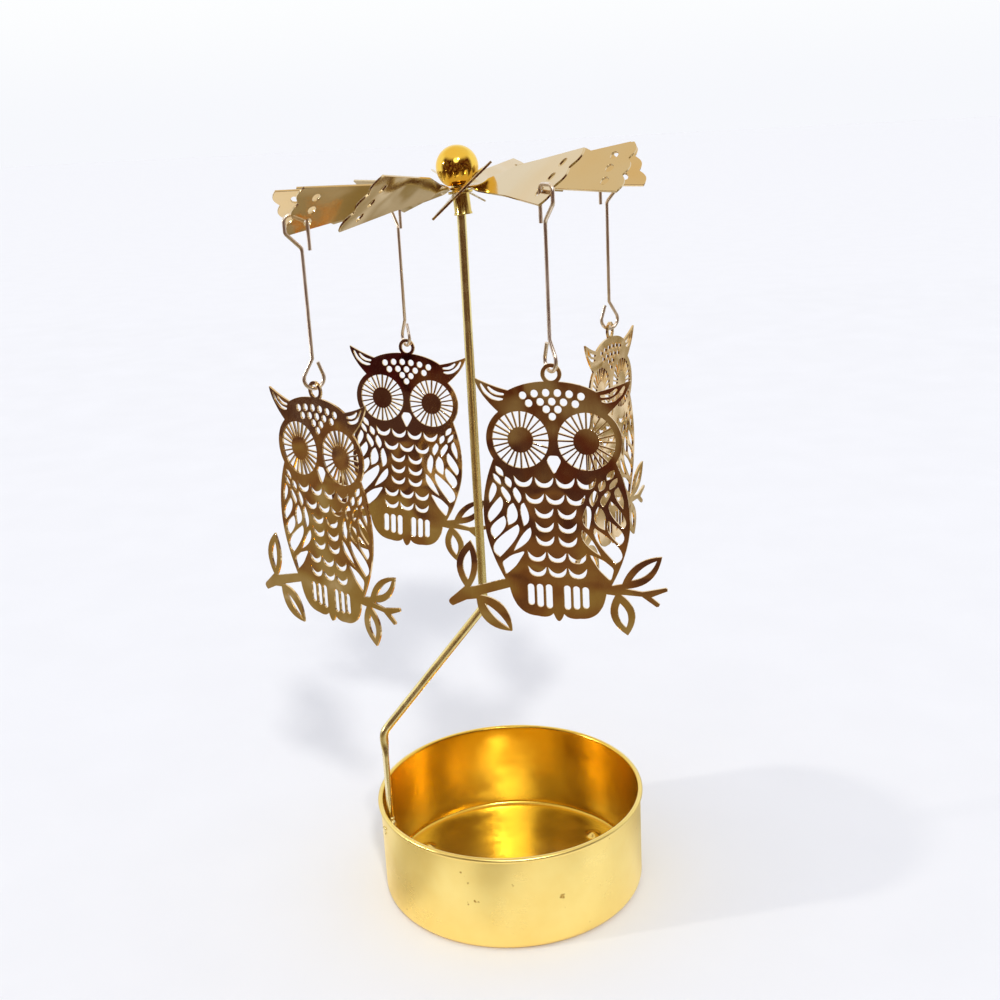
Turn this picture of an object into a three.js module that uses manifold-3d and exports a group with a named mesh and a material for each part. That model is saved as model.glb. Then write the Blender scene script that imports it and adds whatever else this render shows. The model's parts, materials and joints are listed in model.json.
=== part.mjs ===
// Rotating candle holder: a pressed cup for one tealight, a bent stem welded inside its wall, and a
// twelve-blade rotor that rests on the stem's needle point. The warm air of the flame turns the rotor,
// and four cut-out owls hang from its blades on wire hangers.
// Millimetres, +Z up. The origin is the middle of the cup's underside. The stem's foot is on -X.
import * as THREE from 'three';
import { mergeVertices } from 'three/addons/utils/BufferGeometryUtils.js';
import Module from 'manifold-3d';

const wasm = await Module();
wasm.setup();

// Fits shared by all pieces
const SEAT_GAP = 0.3; // left between a piece and what it rests on

// Cup, drawn from sheet
const CUP_RADIUS = 28; // outside of the wall
const CUP_HEIGHT = 21.2;
const CUP_SHEET = 0.6;
const CUP_CORNER = 1.6; // outside bend between floor and wall
const LIP_OUT = 0.5; // how far the rim stands out from the wall
const LIP_DEPTH = 1.1;
const CANDLE_RADIUS = 19.5; // a tealight's metal cup
const CANDLE_PLAY = 0.9; // room between the candle and each pip
const PIP_RADIUS = 1.5;
const PIP_RISE = 0.8;
const PIP_COUNT = 3;
const PIP_STEPS = 3; // bands in a pip's dome
const PIP_TURN = 15; // degrees, where the first pip lies

// Stem, one rod with its foot pressed flat
const ROD_RADIUS = 0.875;
const POST_OFFSET = 3.6; // the post stands this far off the cup's axis, toward the foot
const FOOT_THICK = 1;
const FOOT_WIDTH = 3;
const FOOT_BOTTOM = 9; // height of the foot's lower end
const FOOT_TOP = 37.6; // where the flat foot ends and the rod is round again
const FOOT_BLEND = 1.2; // length of the shoulder between flat and round
const LOWER_BEND = 39.6; // height of the corner above the foot
const UPPER_BEND = 63.4; // height of the corner below the post
const BEND_RADIUS = 3.2;
const BEND_STEP = 31; // degrees between the sections swept round a bend, of the stem and of the hangers
const NEEDLE_LENGTH = 4.8;
const NEEDLE_TIP = 0.12; // radius of the blunted point

// Rotor: everything that turns, drawn round its own axis with the plate's middle at height 0
const PIVOT_HEIGHT = 147.2; // needle point above the table
const LEAN = 5; // degrees: the rotor rocks on its point and has settled to one side
const LEAN_TOWARD = 140.5;
const PLATE_SHEET = 0.4;
const BLADE_COUNT = 12;
const BLADE_PITCH = 36.7; // degrees, the upper edge leads counterclockwise
const TIP_RADIUS = 34.2;
const TIP_HALF_WIDTH = 6.6;
const SHOULDER_RADIUS = 15.5;
const SHOULDER_HALF_WIDTH = 4.1;
const TRAIL_RADIUS = 20; // the lower edge is drawn in at this radius
const TRAIL_HALF_WIDTH = 3.6;
const TWIST_END = 9; // the neck is fully twisted here
const TWIST_HALF_WIDTH = 1.7;
const NECK_HALF_WIDTH = 1.05;
const HUB_RADIUS = 4.6;
const LOBES = 3; // scallops along each blade's outer edge
const LOBE_DEPTH = 0.9;
const EDGE_STRIP = 3.9; // from the blade's tip in to the row of oval holes
const HOLE_ROW_RADIUS = TIP_RADIUS - EDGE_STRIP;
const HOLE_PITCH = 3.4;
const HOLE_LENGTH = 2;
const HOLE_WIDTH = 1.5;

// Finial ball and the bush pressed into it
const BALL_RADIUS = 4;
const BALL_FLAT_DROP = 3.3; // from the ball's middle down to its flat underside
const BUSH_RADIUS = 1.6;
const BUSH_BORE = 1.4;
const BUSH_BELOW = 4.9; // how far the bush reaches below the plate's middle
const BUSH_IN_BALL = 2.6; // how far its spigot goes up into the ball
const BUSH_COLLAR_RADIUS = 2.3;
const BUSH_COLLAR = 0.5;
const BUSH_FLARE = 0.15;
const SEAT_CONE = 0.9; // depth of the cone that sits on the needle

// Hangers, bent from round wire
const WIRE_RADIUS = 0.35;
const HANGER_COUNT = 4;
const HANGER_TURN = 9; // degrees, direction of the first hanger from the post
const ARCH_RISE = 1.35; // wire's middle above the plate where it crosses the blade's edge strip
const LEG_OUT = 4.3; // outer leg, from the hole outward
const LINE_OUT = 1.45; // straight drop, from the hole outward
const STUB = 5; // inner leg below the plate
const KINK_TOP = 1.7;
const KINK_BOTTOM = 4.6;
const HOOK_BEND = 1.2;
const LINE_DROP = 29.8; // from the hole's level down to the wire at the bottom of the eye
const EYE_RADIUS = 1.9; // middle of the wire in the teardrop eye
const EYE_HEIGHT = 3.6; // from the eye's round middle up to where it closes

// Owls, cut from sheet; every place on an owl is measured from the middle of its hanging hole
const OWL_SHEET = 0.4;
const RING_RADIUS = 1.85;
const RING_HOLE = 1.1;
const OWL_TURNS = [46.2, -40.4, -61.4, -35.5]; // degrees at rest, one for each hanger
const OWL_TILTS = [-1, -4.4, -1.3, -0.2]; // degrees, how each owl hangs askew in its ring
const RING_STEPS = 8; // facets of the curves: the ring, its hole, each stretch of the flank and of the perch
const RING_HOLE_STEPS = 12;
const FLANK_STEPS = 3;
const PERCH_STEPS = 3;
// The outline's right half, as the bend and the end of each curve
const BROW_BEND = [5.2, -1.5];
const BROW_END = [7.9, -3];
const EAR_BEND = [11, -2.5];
const EAR_TIP = [13.9, -0.85];
const EAR_UNDER = [13.4, -3.6];
const BROW_TURN = 52; // degrees, where the eye's rim takes over from the ear
const CHEEK_TURN = -35; // and where it ends
const WING_HALF_SPAN = 13.4;
const WING_TOP_BEND = -20.5;
const WING_WIDEST = -25.8;
const WING_LOW_BEND = -31.5;
const PERCH_X = 9.9; // where the wings end on the branch
const PERCH_Y = -38.1;
const BRANCH_END = [[-20.3, -42.2], [-22, -43.3], [-20.4, -44.1], [-17.6, -42.7]];
const TWIGS = [
  [15.3, -40.1], [17.9, -41.6], [18.5, -41], [17, -39.8], [19.9, -38.5], [19.6, -37.8], [15.4, -38.9],
];
const TAIL_LEFT = [-9, -41.4]; // where the tail leaves the branch
const TAIL_RIGHT = [8.6, -40.4];
const TAIL_BEND = 7.6;
const TAIL_FOOT = 4;
const TAIL_END = -44.9;
const TAIL_NUB = 1.4;
const EYE_X = 5.95;
const EYE_Y = -11.8;
const EYE_RIM = 6.3;
const IRIS_RADIUS = 5.15;
const PUPIL_RADIUS = 2.35;
const EYE_SPOKES = 10;
const SPOKE_WIDTH = 0.4;
const SPOKE_START = 0.47; // middle of the first slot, in slots from +X
const BEAK_TOP = -14.4;
const BEAK_TIP = -17.9;
const BEAK_WIDTH = 2.6;
const DOT_RADIUS = 0.66;
const DOT_ROWS = [[6, -3.3], [5, -4.85], [2, -6.2], [1, -7.5]]; // dots in the row, height
const DOT_PITCH = 2.08;
const DOT_ARC = 0.021; // how quickly a row of dots drops toward its ends
const SCALE_ARC = -0.003; // a row of breast scales rises a little
const SCALE_WIDTH = 3.44;
const SCALE_DEPTH = 1.8;
const SCALE_HOLLOW = 1.15; // how far the middle of a scale's upper edge lies below its tips
const SCALE_FOOT = 1.5;
const SCALE_PITCH = 3.85;
const SCALE_ROWS = [[4, -18.6], [3, -21.5], [2, -24.2], [2, -26.8], [2, -29.4], [3, -32.4], [3, -35.3]];
const TAIL_SLOTS = [1.7, 3.4, 5.1];
const TAIL_SLOT_WIDTH = 1.25;
const TAIL_TOP = -38.7;
const TAIL_BOTTOM = -43.3;
const TAIL_ARC = 0.006; // how quickly the tail's slots drop toward the sides
const TAIL_ROUNDING = 0.02; // and how quickly they shorten
// Long cut-outs of one side: one end x y, other end x y, width, share of it toward the outer edge
const EAR_SLOTS = [[12.75, -1.95, 8.8, -4.62, 0.65, 1.77], [11.45, -2.35, 8.65, -3.75, 0.55, 1.2]];
const FEATHERS = [
  [10.6, -16.9, 9.5, -18.4, 1, 0.5], [11.15, -18.2, 10, -20.1, 1.1, 0.5],
  [8.9, -18.7, 8.2, -20.55, 1.15, 0.5], [7.2, -20.6, 6.75, -23.45, 1.5, 0.5],
  [9.55, -20.45, 8.65, -23.25, 1.7, 0.5], [11.4, -19.8, 12.2, -23.7, 1.4, 0.35],
  [5.75, -23.5, 6, -27.7, 1.5, 0.4], [7.8, -23.6, 8.9, -27.65, 2, 0.4],
  [10.1, -22.5, 12.2, -27.3, 2, 0.5], [9.6, -26.1, 11.5, -30.4, 2.2, 0.6],
  [7.1, -27.6, 10.7, -33.9, 2.5, 0.64], [4.8, -28.1, 8, -32.5, 1.4, 0.35],
  [6.05, -32.75, 9.9, -36.6, 2.4, 0.75],
];
// Leaves on the branch, in the order the outline meets them: base x y, tip x y, width
const LEAVES = [
  [-17.3, -40.1, -16.6, -31, 2.15], [-15.3, -42, -9, -48.4, 2.05],
  [11, -39.8, 12.7, -47.5, 2.25], [12.1, -38.1, 19, -32.1, 1.7],
];
const STALK = 0.55; // half the width of a leaf's stalk

const rad = THREE.MathUtils.degToRad;
const v2 = (x, y) => new THREE.Vector2(x, y);

// Closed meshes to solids and back
function solid(geometry) {
  const plain = geometry.clone();
  plain.deleteAttribute('normal');
  plain.deleteAttribute('uv');
  const merged = mergeVertices(plain, 1e-4);
  return new wasm.Manifold(new wasm.Mesh({
    numProp: 3,
    vertProperties: new Float32Array(merged.attributes.position.array),
    triVerts: new Uint32Array(merged.index.array),
  }));
}

function geometryOf(made) {
  const mesh = made.getMesh();
  const geometry = new THREE.BufferGeometry();
  geometry.setAttribute('position', new THREE.BufferAttribute(new Float32Array(mesh.vertProperties), 3));
  geometry.setIndex(new THREE.BufferAttribute(new Uint32Array(mesh.triVerts), 1));
  geometry.computeVertexNormals();
  return geometry;
}

function facets(points, triangles) {
  const geometry = new THREE.BufferGeometry();
  geometry.setAttribute('position', new THREE.Float32BufferAttribute(points.flat(), 3));
  geometry.setIndex(triangles.flat());
  geometry.computeVertexNormals();
  return geometry;
}

// A profile of [radius, height] pairs turned round Z
function turned(profile, segments) {
  const lathe = new THREE.LatheGeometry(profile.map(([r, z]) => v2(r, z)), segments);
  return lathe.rotateX(Math.PI / 2);
}

// A quarter bend from angle a to b, as [radius, height] pairs
function arc(r, z, radius, a, b, steps) {
  return Array.from({ length: steps + 1 }, (_, i) => {
    const t = rad(a + ((b - a) * i) / steps);
    return [r + radius * Math.cos(t), z + radius * Math.sin(t)];
  });
}

// Rods and wires: corners of [x, z, bend radius] in the plane y = 0, swept by a section
function bentPath(corners) {
  const path = [v2(corners[0][0], corners[0][1])];
  for (let i = 1; i < corners.length - 1; i += 1) {
    const [x, z, radius] = corners[i];
    const at = v2(x, z);
    const back = v2(corners[i - 1][0] - x, corners[i - 1][1] - z).normalize();
    const on = v2(corners[i + 1][0] - x, corners[i + 1][1] - z).normalize();
    if (!radius) {
      path.push(at);
      continue;
    }
    const half = Math.acos(THREE.MathUtils.clamp(back.dot(on), -1, 1)) / 2;
    const turn = Math.PI - 2 * half;
    const centre = at.clone().addScaledVector(back.clone().add(on).normalize(), radius / Math.sin(half));
    const from = at.clone().addScaledVector(back, radius / Math.tan(half)).sub(centre);
    const sign = Math.sign(back.x * on.y - back.y * on.x);
    const steps = Math.ceil(turn / rad(BEND_STEP));
    for (let k = 0; k <= steps; k += 1) {
      path.push(centre.clone().add(from.clone().rotateAround(v2(0, 0), (-sign * turn * k) / steps)));
    }
  }
  const last = corners[corners.length - 1];
  path.push(v2(last[0], last[1]));
  return path;
}

function swept(path, sides, sectionAt) {
  const points = [];
  path.forEach((at, i) => {
    const before = path[Math.max(i - 1, 0)];
    const after = path[Math.min(i + 1, path.length - 1)];
    const into = at.clone().sub(before).normalize();
    const out = after.clone().sub(at).normalize();
    const along = into.add(out).normalize();
    const across = v2(along.y, -along.x);
    for (let k = 0; k < sides; k += 1) {
      const [a, b] = sectionAt((2 * Math.PI * k) / sides, at);
      points.push([at.x + across.x * a, b, at.y + across.y * a]);
    }
  });
  const triangles = [];
  for (let i = 0; i < path.length - 1; i += 1) {
    for (let k = 0; k < sides; k += 1) {
      const a = i * sides + k;
      const b = i * sides + ((k + 1) % sides);
      triangles.push([a, b, b + sides], [a, b + sides, a + sides]);
    }
  }
  const top = (path.length - 1) * sides;
  for (let k = 1; k < sides - 1; k += 1) {
    triangles.push([0, k + 1, k], [top, top + k, top + k + 1]);
  }
  return facets(points, triangles);
}

const roundSection = (radius) => (t) => [radius * Math.cos(t), radius * Math.sin(t)];

// Cup
function pip(base, foot) {
  const dome = Array.from({ length: PIP_STEPS }, (_, i) => {
    const t = (Math.PI * i) / (2 * PIP_STEPS);
    return [PIP_RADIUS * Math.cos(t), base + PIP_RISE * Math.sin(t)];
  });
  return turned([[0, foot], [PIP_RADIUS, foot], ...dome, [0, base + PIP_RISE]], 12);
}

function cup() {
  const inner = CUP_RADIUS - CUP_SHEET;
  const lip = CUP_RADIUS + LIP_OUT;
  const bendIn = CUP_CORNER - CUP_SHEET;
  const profile = [
    [0, 0],
    ...arc(CUP_RADIUS - CUP_CORNER, CUP_CORNER, CUP_CORNER, -90, 0, 2),
    [CUP_RADIUS, CUP_HEIGHT - LIP_DEPTH],
    [lip, CUP_HEIGHT - LIP_DEPTH + LIP_OUT / 2],
    [lip, CUP_HEIGHT - LIP_OUT / 2],
    [lip - LIP_OUT / 2, CUP_HEIGHT],
    [inner, CUP_HEIGHT],
    ...arc(inner - bendIn, CUP_SHEET + bendIn, bendIn, 0, -90, 2),
    [0, CUP_SHEET],
  ];
  let made = solid(turned(profile, 32));
  const pipAt = CANDLE_RADIUS + CANDLE_PLAY + PIP_RADIUS;
  for (let i = 0; i < PIP_COUNT; i += 1) {
    const turn = rad(PIP_TURN) + (2 * Math.PI * i) / PIP_COUNT;
    made = made.add(solid(pip(CUP_SHEET, CUP_SHEET / 2).translate(pipAt, 0, 0).rotateZ(turn)));
    made = made.subtract(solid(pip(0, -CUP_SHEET).translate(pipAt, 0, 0).rotateZ(turn)));
  }
  return geometryOf(made);
}

// Stem
function stem() {
  const footX = CUP_RADIUS - CUP_SHEET - SEAT_GAP - FOOT_THICK / 2;
  const needleFoot = PIVOT_HEIGHT - NEEDLE_LENGTH;
  const path = bentPath([
    [-footX, FOOT_BOTTOM], [-footX, FOOT_TOP - FOOT_BLEND], [-footX, FOOT_TOP],
    [-footX, LOWER_BEND, BEND_RADIUS], [-POST_OFFSET, UPPER_BEND, BEND_RADIUS],
    [-POST_OFFSET, needleFoot], [-POST_OFFSET, PIVOT_HEIGHT],
  ]);
  const flat = (t) => {
    const square = (c) => Math.sign(c) * Math.sqrt(Math.abs(c));
    return [(FOOT_THICK / 2) * square(Math.cos(t)), (FOOT_WIDTH / 2) * square(Math.sin(t))];
  };
  const needle = roundSection(NEEDLE_TIP);
  const rod = roundSection(ROD_RADIUS);
  return swept(path, 12, (t, at) => {
    if (at.y < FOOT_TOP - FOOT_BLEND / 2) return flat(t);
    return at.y > needleFoot + NEEDLE_LENGTH / 2 ? needle(t) : rod(t);
  });
}

// Rotor plate
function bladePoint(r, c, t) {
  const turn = rad(BLADE_PITCH) * THREE.MathUtils.smoothstep(r, HUB_RADIUS, TWIST_END);
  return [r, c * Math.cos(turn) - t * Math.sin(turn), c * Math.sin(turn) + t * Math.cos(turn)];
}

function scallopedEdge() {
  const lobe = (2 * TIP_HALF_WIDTH) / LOBES;
  const steps = LOBES * 3;
  return Array.from({ length: steps + 1 }, (_, i) => {
    const c = -TIP_HALF_WIDTH + (2 * TIP_HALF_WIDTH * i) / steps;
    return [TIP_RADIUS - LOBE_DEPTH * (1 - Math.abs(Math.cos((Math.PI * c) / lobe))), c];
  });
}

function ovalHole(c) {
  return Array.from({ length: 6 }, (_, i) => {
    const t = (2 * Math.PI * i) / 6;
    return [HOLE_ROW_RADIUS + (HOLE_WIDTH / 2) * Math.sin(t), c + (HOLE_LENGTH / 2) * Math.cos(t)];
  });
}

function blade() {
  const outline = [
    [TRAIL_RADIUS, -TRAIL_HALF_WIDTH], ...scallopedEdge(), [SHOULDER_RADIUS, SHOULDER_HALF_WIDTH],
    [TWIST_END, TWIST_HALF_WIDTH], [TWIST_END, -TWIST_HALF_WIDTH],
  ];
  const holes = [-HOLE_PITCH, 0, HOLE_PITCH].map(ovalHole);
  const flat = [...outline, ...holes.flat()];
  const toV2 = ([x, y]) => v2(x, y);
  const faces = THREE.ShapeUtils.triangulateShape(outline.map(toV2), holes.map((h) => h.map(toV2)));
  const loops = [outline.map((_, i) => i)];
  let next = outline.length;
  holes.forEach((h) => {
    loops.push(h.map((_, i) => next + i));
    next += h.length;
  });
  // The neck: pairs of points from the twisted end back into the hub
  const steps = 2;
  const low = [outline.length - 1];
  const high = [outline.length - 2];
  for (let i = 1; i <= steps; i += 1) {
    const share = i / steps;
    const r = THREE.MathUtils.lerp(TWIST_END, HUB_RADIUS, share);
    const w = THREE.MathUtils.lerp(TWIST_HALF_WIDTH, NECK_HALF_WIDTH, share);
    low.push(flat.push([r, -w]) - 1);
    high.push(flat.push([r, w]) - 1);
  }
  low.push(flat.push([HUB_RADIUS - 1, -NECK_HALF_WIDTH]) - 1);
  high.push(flat.push([HUB_RADIUS - 1, NECK_HALF_WIDTH]) - 1);
  for (let i = 0; i < low.length - 1; i += 1) {
    faces.push([low[i], high[i], high[i + 1]], [low[i], high[i + 1], low[i + 1]]);
  }
  loops[0] = [...loops[0].slice(0, -1), ...high.slice(1), ...low.slice().reverse()];
  return thickened(flat, faces, loops, PLATE_SHEET, bladePoint);
}

// A flat sheet of faces given a thickness, with each point placed by place(x, y, height)
function thickened(flat, faces, loops, thickness, place) {
  const count = flat.length;
  const points = [thickness / 2, -thickness / 2].flatMap((t) => flat.map(([x, y]) => place(x, y, t)));
  const area = ([a, b, c]) => {
    const [[ax, ay], [bx, by], [cx, cy]] = [flat[a], flat[b], flat[c]];
    return (bx - ax) * (cy - ay) - (by - ay) * (cx - ax);
  };
  const triangles = [];
  faces.forEach((face) => {
    const [a, b, c] = area(face) > 0 ? face : [face[0], face[2], face[1]];
    triangles.push([a, b, c], [count + a, count + c, count + b]);
  });
  loops.forEach((loop, index) => {
    const turn = loop.reduce((sum, at, i) => {
      const on = flat[loop[(i + 1) % loop.length]];
      return sum + flat[at][0] * on[1] - flat[at][1] * on[0];
    }, 0);
    const ordered = turn > 0 === (index === 0) ? loop : loop.slice().reverse();
    ordered.forEach((a, i) => {
      const b = ordered[(i + 1) % ordered.length];
      triangles.push([a, count + b, b], [a, count + a, count + b]);
    });
  });
  return facets(points, triangles);
}

// The hook's hole is the trailing one, so the blade's middle lies ahead of its hanger
const hookLag = Math.atan2(HOLE_PITCH * Math.cos(rad(BLADE_PITCH)), HOLE_ROW_RADIUS);

function rotorPlate() {
  const half = PLATE_SHEET / 2;
  const hole = BUSH_RADIUS + SEAT_GAP;
  const ring = [[hole, -half], [HUB_RADIUS, -half], [HUB_RADIUS, half], [hole, half], [hole, -half]];
  let made = solid(turned(ring, 24));
  for (let i = 0; i < BLADE_COUNT; i += 1) {
    const turn = rad(HANGER_TURN) + hookLag + (2 * Math.PI * i) / BLADE_COUNT;
    made = made.add(solid(blade().rotateZ(turn)));
  }
  return geometryOf(made);
}

// Ball and bush
function ball() {
  const under = PLATE_SHEET / 2 + SEAT_GAP;
  const centre = under + BALL_FLAT_DROP;
  const bore = BUSH_RADIUS + SEAT_GAP;
  const boreTop = BUSH_IN_BALL + SEAT_GAP;
  const lowest = (Math.asin(-BALL_FLAT_DROP / BALL_RADIUS) * 180) / Math.PI;
  const profile = [
    [0, boreTop], [bore, boreTop], [bore, under],
    ...arc(0, centre, BALL_RADIUS, lowest, 90, 9).slice(0, -1), [0, centre + BALL_RADIUS],
  ];
  return turned(profile, 18);
}

function bush() {
  const collarTop = -PLATE_SHEET / 2 - SEAT_GAP;
  const collarBottom = collarTop - BUSH_COLLAR;
  const seat = SEAT_GAP + NEEDLE_TIP;
  const profile = [
    [0, seat], [BUSH_BORE, seat - SEAT_CONE], [BUSH_BORE, -BUSH_BELOW], [BUSH_RADIUS + BUSH_FLARE, -BUSH_BELOW],
    [BUSH_RADIUS, -BUSH_BELOW + 3 * BUSH_FLARE], [BUSH_RADIUS, collarBottom], [BUSH_COLLAR_RADIUS, collarBottom],
    [BUSH_COLLAR_RADIUS, collarTop], [BUSH_RADIUS, collarTop], [BUSH_RADIUS, BUSH_IN_BALL], [0, BUSH_IN_BALL],
  ];
  return turned(profile, 16);
}

// Hanger, drawn in the plane y = 0 with the blade's hole at the origin and outward along +X
function hanger() {
  const eyeZ = -LINE_DROP + EYE_RADIUS;
  const close = eyeZ + EYE_HEIGHT;
  const path = bentPath([
    [0, -STUB], [0, ARCH_RISE, HOOK_BEND], [LEG_OUT, ARCH_RISE, HOOK_BEND], [LEG_OUT, -KINK_TOP, HOOK_BEND],
    [LINE_OUT, -KINK_BOTTOM, HOOK_BEND], [LINE_OUT, close],
  ]);
  const steps = 8;
  for (let i = 0; i <= steps; i += 1) {
    const t = rad(THREE.MathUtils.lerp(25, -205, i / steps));
    path.push(v2(LINE_OUT + EYE_RADIUS * Math.cos(t), eyeZ + EYE_RADIUS * Math.sin(t)));
  }
  path.push(v2(LINE_OUT - 2 * WIRE_RADIUS - SEAT_GAP, close - 2 * WIRE_RADIUS));
  return swept(path, 6, roundSection(WIRE_RADIUS));
}

// Owl: one sheet outline and its cut-outs, as three.js shapes
function polygon(points) {
  return new THREE.Path(points.map(([x, y]) => v2(x, y)));
}

// Rows of cut-outs hang in a shallow arc: lower toward the flanks
const sag = (x, y, arch) => y - arch * x * x;

function kite(x0, y0, x1, y1, width, outerShare = 0.5) {
  const across = v2(y0 - y1, x1 - x0).setLength(width);
  const [mx, my] = [(x0 + x1) / 2, (y0 + y1) / 2];
  const inner = 1 - outerShare;
  return polygon([
    [x0, y0], [mx - across.x * inner, my - across.y * inner],
    [x1, y1], [mx + across.x * outerShare, my + across.y * outerShare],
  ]);
}

function breastScale(x, y) {
  const half = SCALE_WIDTH / 2;
  const foot = SCALE_FOOT / 2;
  const [low, hollow] = [y - SCALE_DEPTH, y - SCALE_HOLLOW];
  const corners = [[x - half, y], [x - foot, low], [x + foot, low], [x + half, y], [x, hollow]];
  return polygon(corners.map((at) => [at[0], sag(...at, SCALE_ARC)]));
}

function irisSlot(x, index) {
  const pitch = (2 * Math.PI) / EYE_SPOKES;
  const middle = pitch * (index + SPOKE_START);
  const corner = (radius, side) => {
    const t = middle + side * (pitch / 2 - SPOKE_WIDTH / 2 / radius);
    return [x + radius * Math.cos(t), EYE_Y + radius * Math.sin(t)];
  };
  return polygon([
    corner(PUPIL_RADIUS, -1), corner(IRIS_RADIUS, -1), corner(IRIS_RADIUS, 1), corner(PUPIL_RADIUS, 1),
  ]);
}

// From the hanging ring down over the ear, the eye's rim and the wing, on the +X side
function flank() {
  const path = new THREE.Path();
  const neck = RING_RADIUS * Math.SQRT1_2;
  const browTurn = rad(BROW_TURN);
  const rimTop = [EYE_X + EYE_RIM * Math.cos(browTurn), EYE_Y + EYE_RIM * Math.sin(browTurn)];
  path.moveTo(neck, -neck);
  path.quadraticCurveTo(...BROW_BEND, ...BROW_END);
  path.quadraticCurveTo(...EAR_BEND, ...EAR_TIP);
  path.quadraticCurveTo(...EAR_UNDER, ...rimTop);
  path.absarc(EYE_X, EYE_Y, EYE_RIM, browTurn, rad(CHEEK_TURN), true);
  path.quadraticCurveTo(WING_HALF_SPAN, WING_TOP_BEND, WING_HALF_SPAN, WING_WIDEST);
  path.quadraticCurveTo(WING_HALF_SPAN, WING_LOW_BEND, PERCH_X, PERCH_Y);
  return path.getPoints(FLANK_STEPS);
}

function leafAt(path, [x0, y0, x1, y1, width]) {
  const across = v2(y0 - y1, x1 - x0).setLength(1);
  const [mx, my] = [(x0 + x1) / 2, (y0 + y1) / 2];
  path.lineTo(x0 - across.x * STALK, y0 - across.y * STALK);
  path.quadraticCurveTo(mx - across.x * width, my - across.y * width, x1, y1);
  const back = [x0 + across.x * STALK, y0 + across.y * STALK];
  path.quadraticCurveTo(mx + across.x * width, my + across.y * width, ...back);
}

// The branch with its leaves and the tail, from the -X wing round to the +X wing
function perch() {
  const path = new THREE.Path();
  const [branchTop, branchBend, branchLow, branchFoot] = BRANCH_END;
  path.moveTo(-PERCH_X, PERCH_Y);
  leafAt(path, LEAVES[0]);
  path.lineTo(...branchTop);
  path.quadraticCurveTo(...branchBend, ...branchLow);
  path.lineTo(...branchFoot);
  leafAt(path, LEAVES[1]);
  path.lineTo(...TAIL_LEFT);
  path.quadraticCurveTo(-TAIL_BEND, TAIL_END, -TAIL_FOOT, TAIL_END);
  path.quadraticCurveTo(0, TAIL_END - TAIL_NUB, TAIL_FOOT, TAIL_END);
  path.quadraticCurveTo(TAIL_BEND, TAIL_END, ...TAIL_RIGHT);
  leafAt(path, LEAVES[2]);
  TWIGS.forEach((at) => path.lineTo(...at));
  leafAt(path, LEAVES[3]);
  path.lineTo(PERCH_X, PERCH_Y);
  return path.getPoints(PERCH_STEPS);
}

function ringArc(radius, from, to, steps) {
  return arc(0, 0, radius, from, to, steps).map(([x, y]) => v2(x, y));
}

function owlCutOuts() {
  const ring = new THREE.Path(ringArc(RING_HOLE, 0, 360, RING_HOLE_STEPS).slice(1));
  const cuts = [ring, kite(0, BEAK_TOP, 0, BEAK_TIP, BEAK_WIDTH)];
  DOT_ROWS.forEach(([count, y]) => {
    for (let i = 0; i < count; i += 1) {
      const from = (i - (count - 1) / 2) * DOT_PITCH - DOT_RADIUS;
      const to = from + 2 * DOT_RADIUS;
      cuts.push(kite(from, sag(from, y, DOT_ARC), to, sag(to, y, DOT_ARC), 2 * DOT_RADIUS));
    }
  });
  SCALE_ROWS.forEach(([count, y]) => {
    for (let i = 0; i < count; i += 1) cuts.push(breastScale((i - (count - 1) / 2) * SCALE_PITCH, y));
  });
  [1, -1].forEach((side) => {
    for (let i = 0; i < EYE_SPOKES; i += 1) cuts.push(irisSlot(side * EYE_X, i));
    TAIL_SLOTS.forEach((x) => {
      const [from, to] = [side * x - TAIL_SLOT_WIDTH / 2, side * x + TAIL_SLOT_WIDTH / 2];
      const top = (at) => [at, sag(at, TAIL_TOP, TAIL_ARC)];
      const foot = (at) => [at, sag(at, TAIL_BOTTOM, -TAIL_ROUNDING)];
      cuts.push(polygon([top(from), foot(from), foot(to), top(to)]));
    });
    [...FEATHERS, ...EAR_SLOTS].forEach(([x0, y0, x1, y1, width, outer]) => {
      cuts.push(kite(side * x0, y0, side * x1, y1, width, side > 0 ? outer : 1 - outer));
    });
  });
  LEAVES.forEach(([x0, y0, x1, y1, width]) => {
    const along = (share) => [THREE.MathUtils.lerp(x0, x1, share), THREE.MathUtils.lerp(y0, y1, share)];
    cuts.push(kite(...along(0.22), ...along(0.8), width * 0.42));
  });
  return cuts;
}

function owl() {
  const right = flank();
  const left = right.map((at) => v2(-at.x, at.y));
  const hoop = ringArc(RING_RADIUS, -45, 225, RING_STEPS).slice(1, -1);
  const outline = [...hoop, ...left, ...perch().slice(1, -1), ...right.reverse()];
  const shape = new THREE.Shape(outline);
  shape.holes = owlCutOuts();
  const sheet = new THREE.ExtrudeGeometry(shape, { depth: OWL_SHEET, bevelEnabled: false });
  return sheet.translate(0, 0, -OWL_SHEET / 2).rotateX(Math.PI / 2);
}

// Finish and assembly
const polished = (color, roughness) => new THREE.MeshStandardMaterial({ color, roughness, metalness: 1 });

function piece(name, geometry, material) {
  const mesh = new THREE.Mesh(geometry, material);
  mesh.name = name;
  return mesh;
}

const holder = new THREE.Group();
holder.add(piece('cup', cup(), polished('#e6c977', 0.38)));
holder.add(piece('stem', stem(), polished('#b79a3c', 0.25)));

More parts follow.
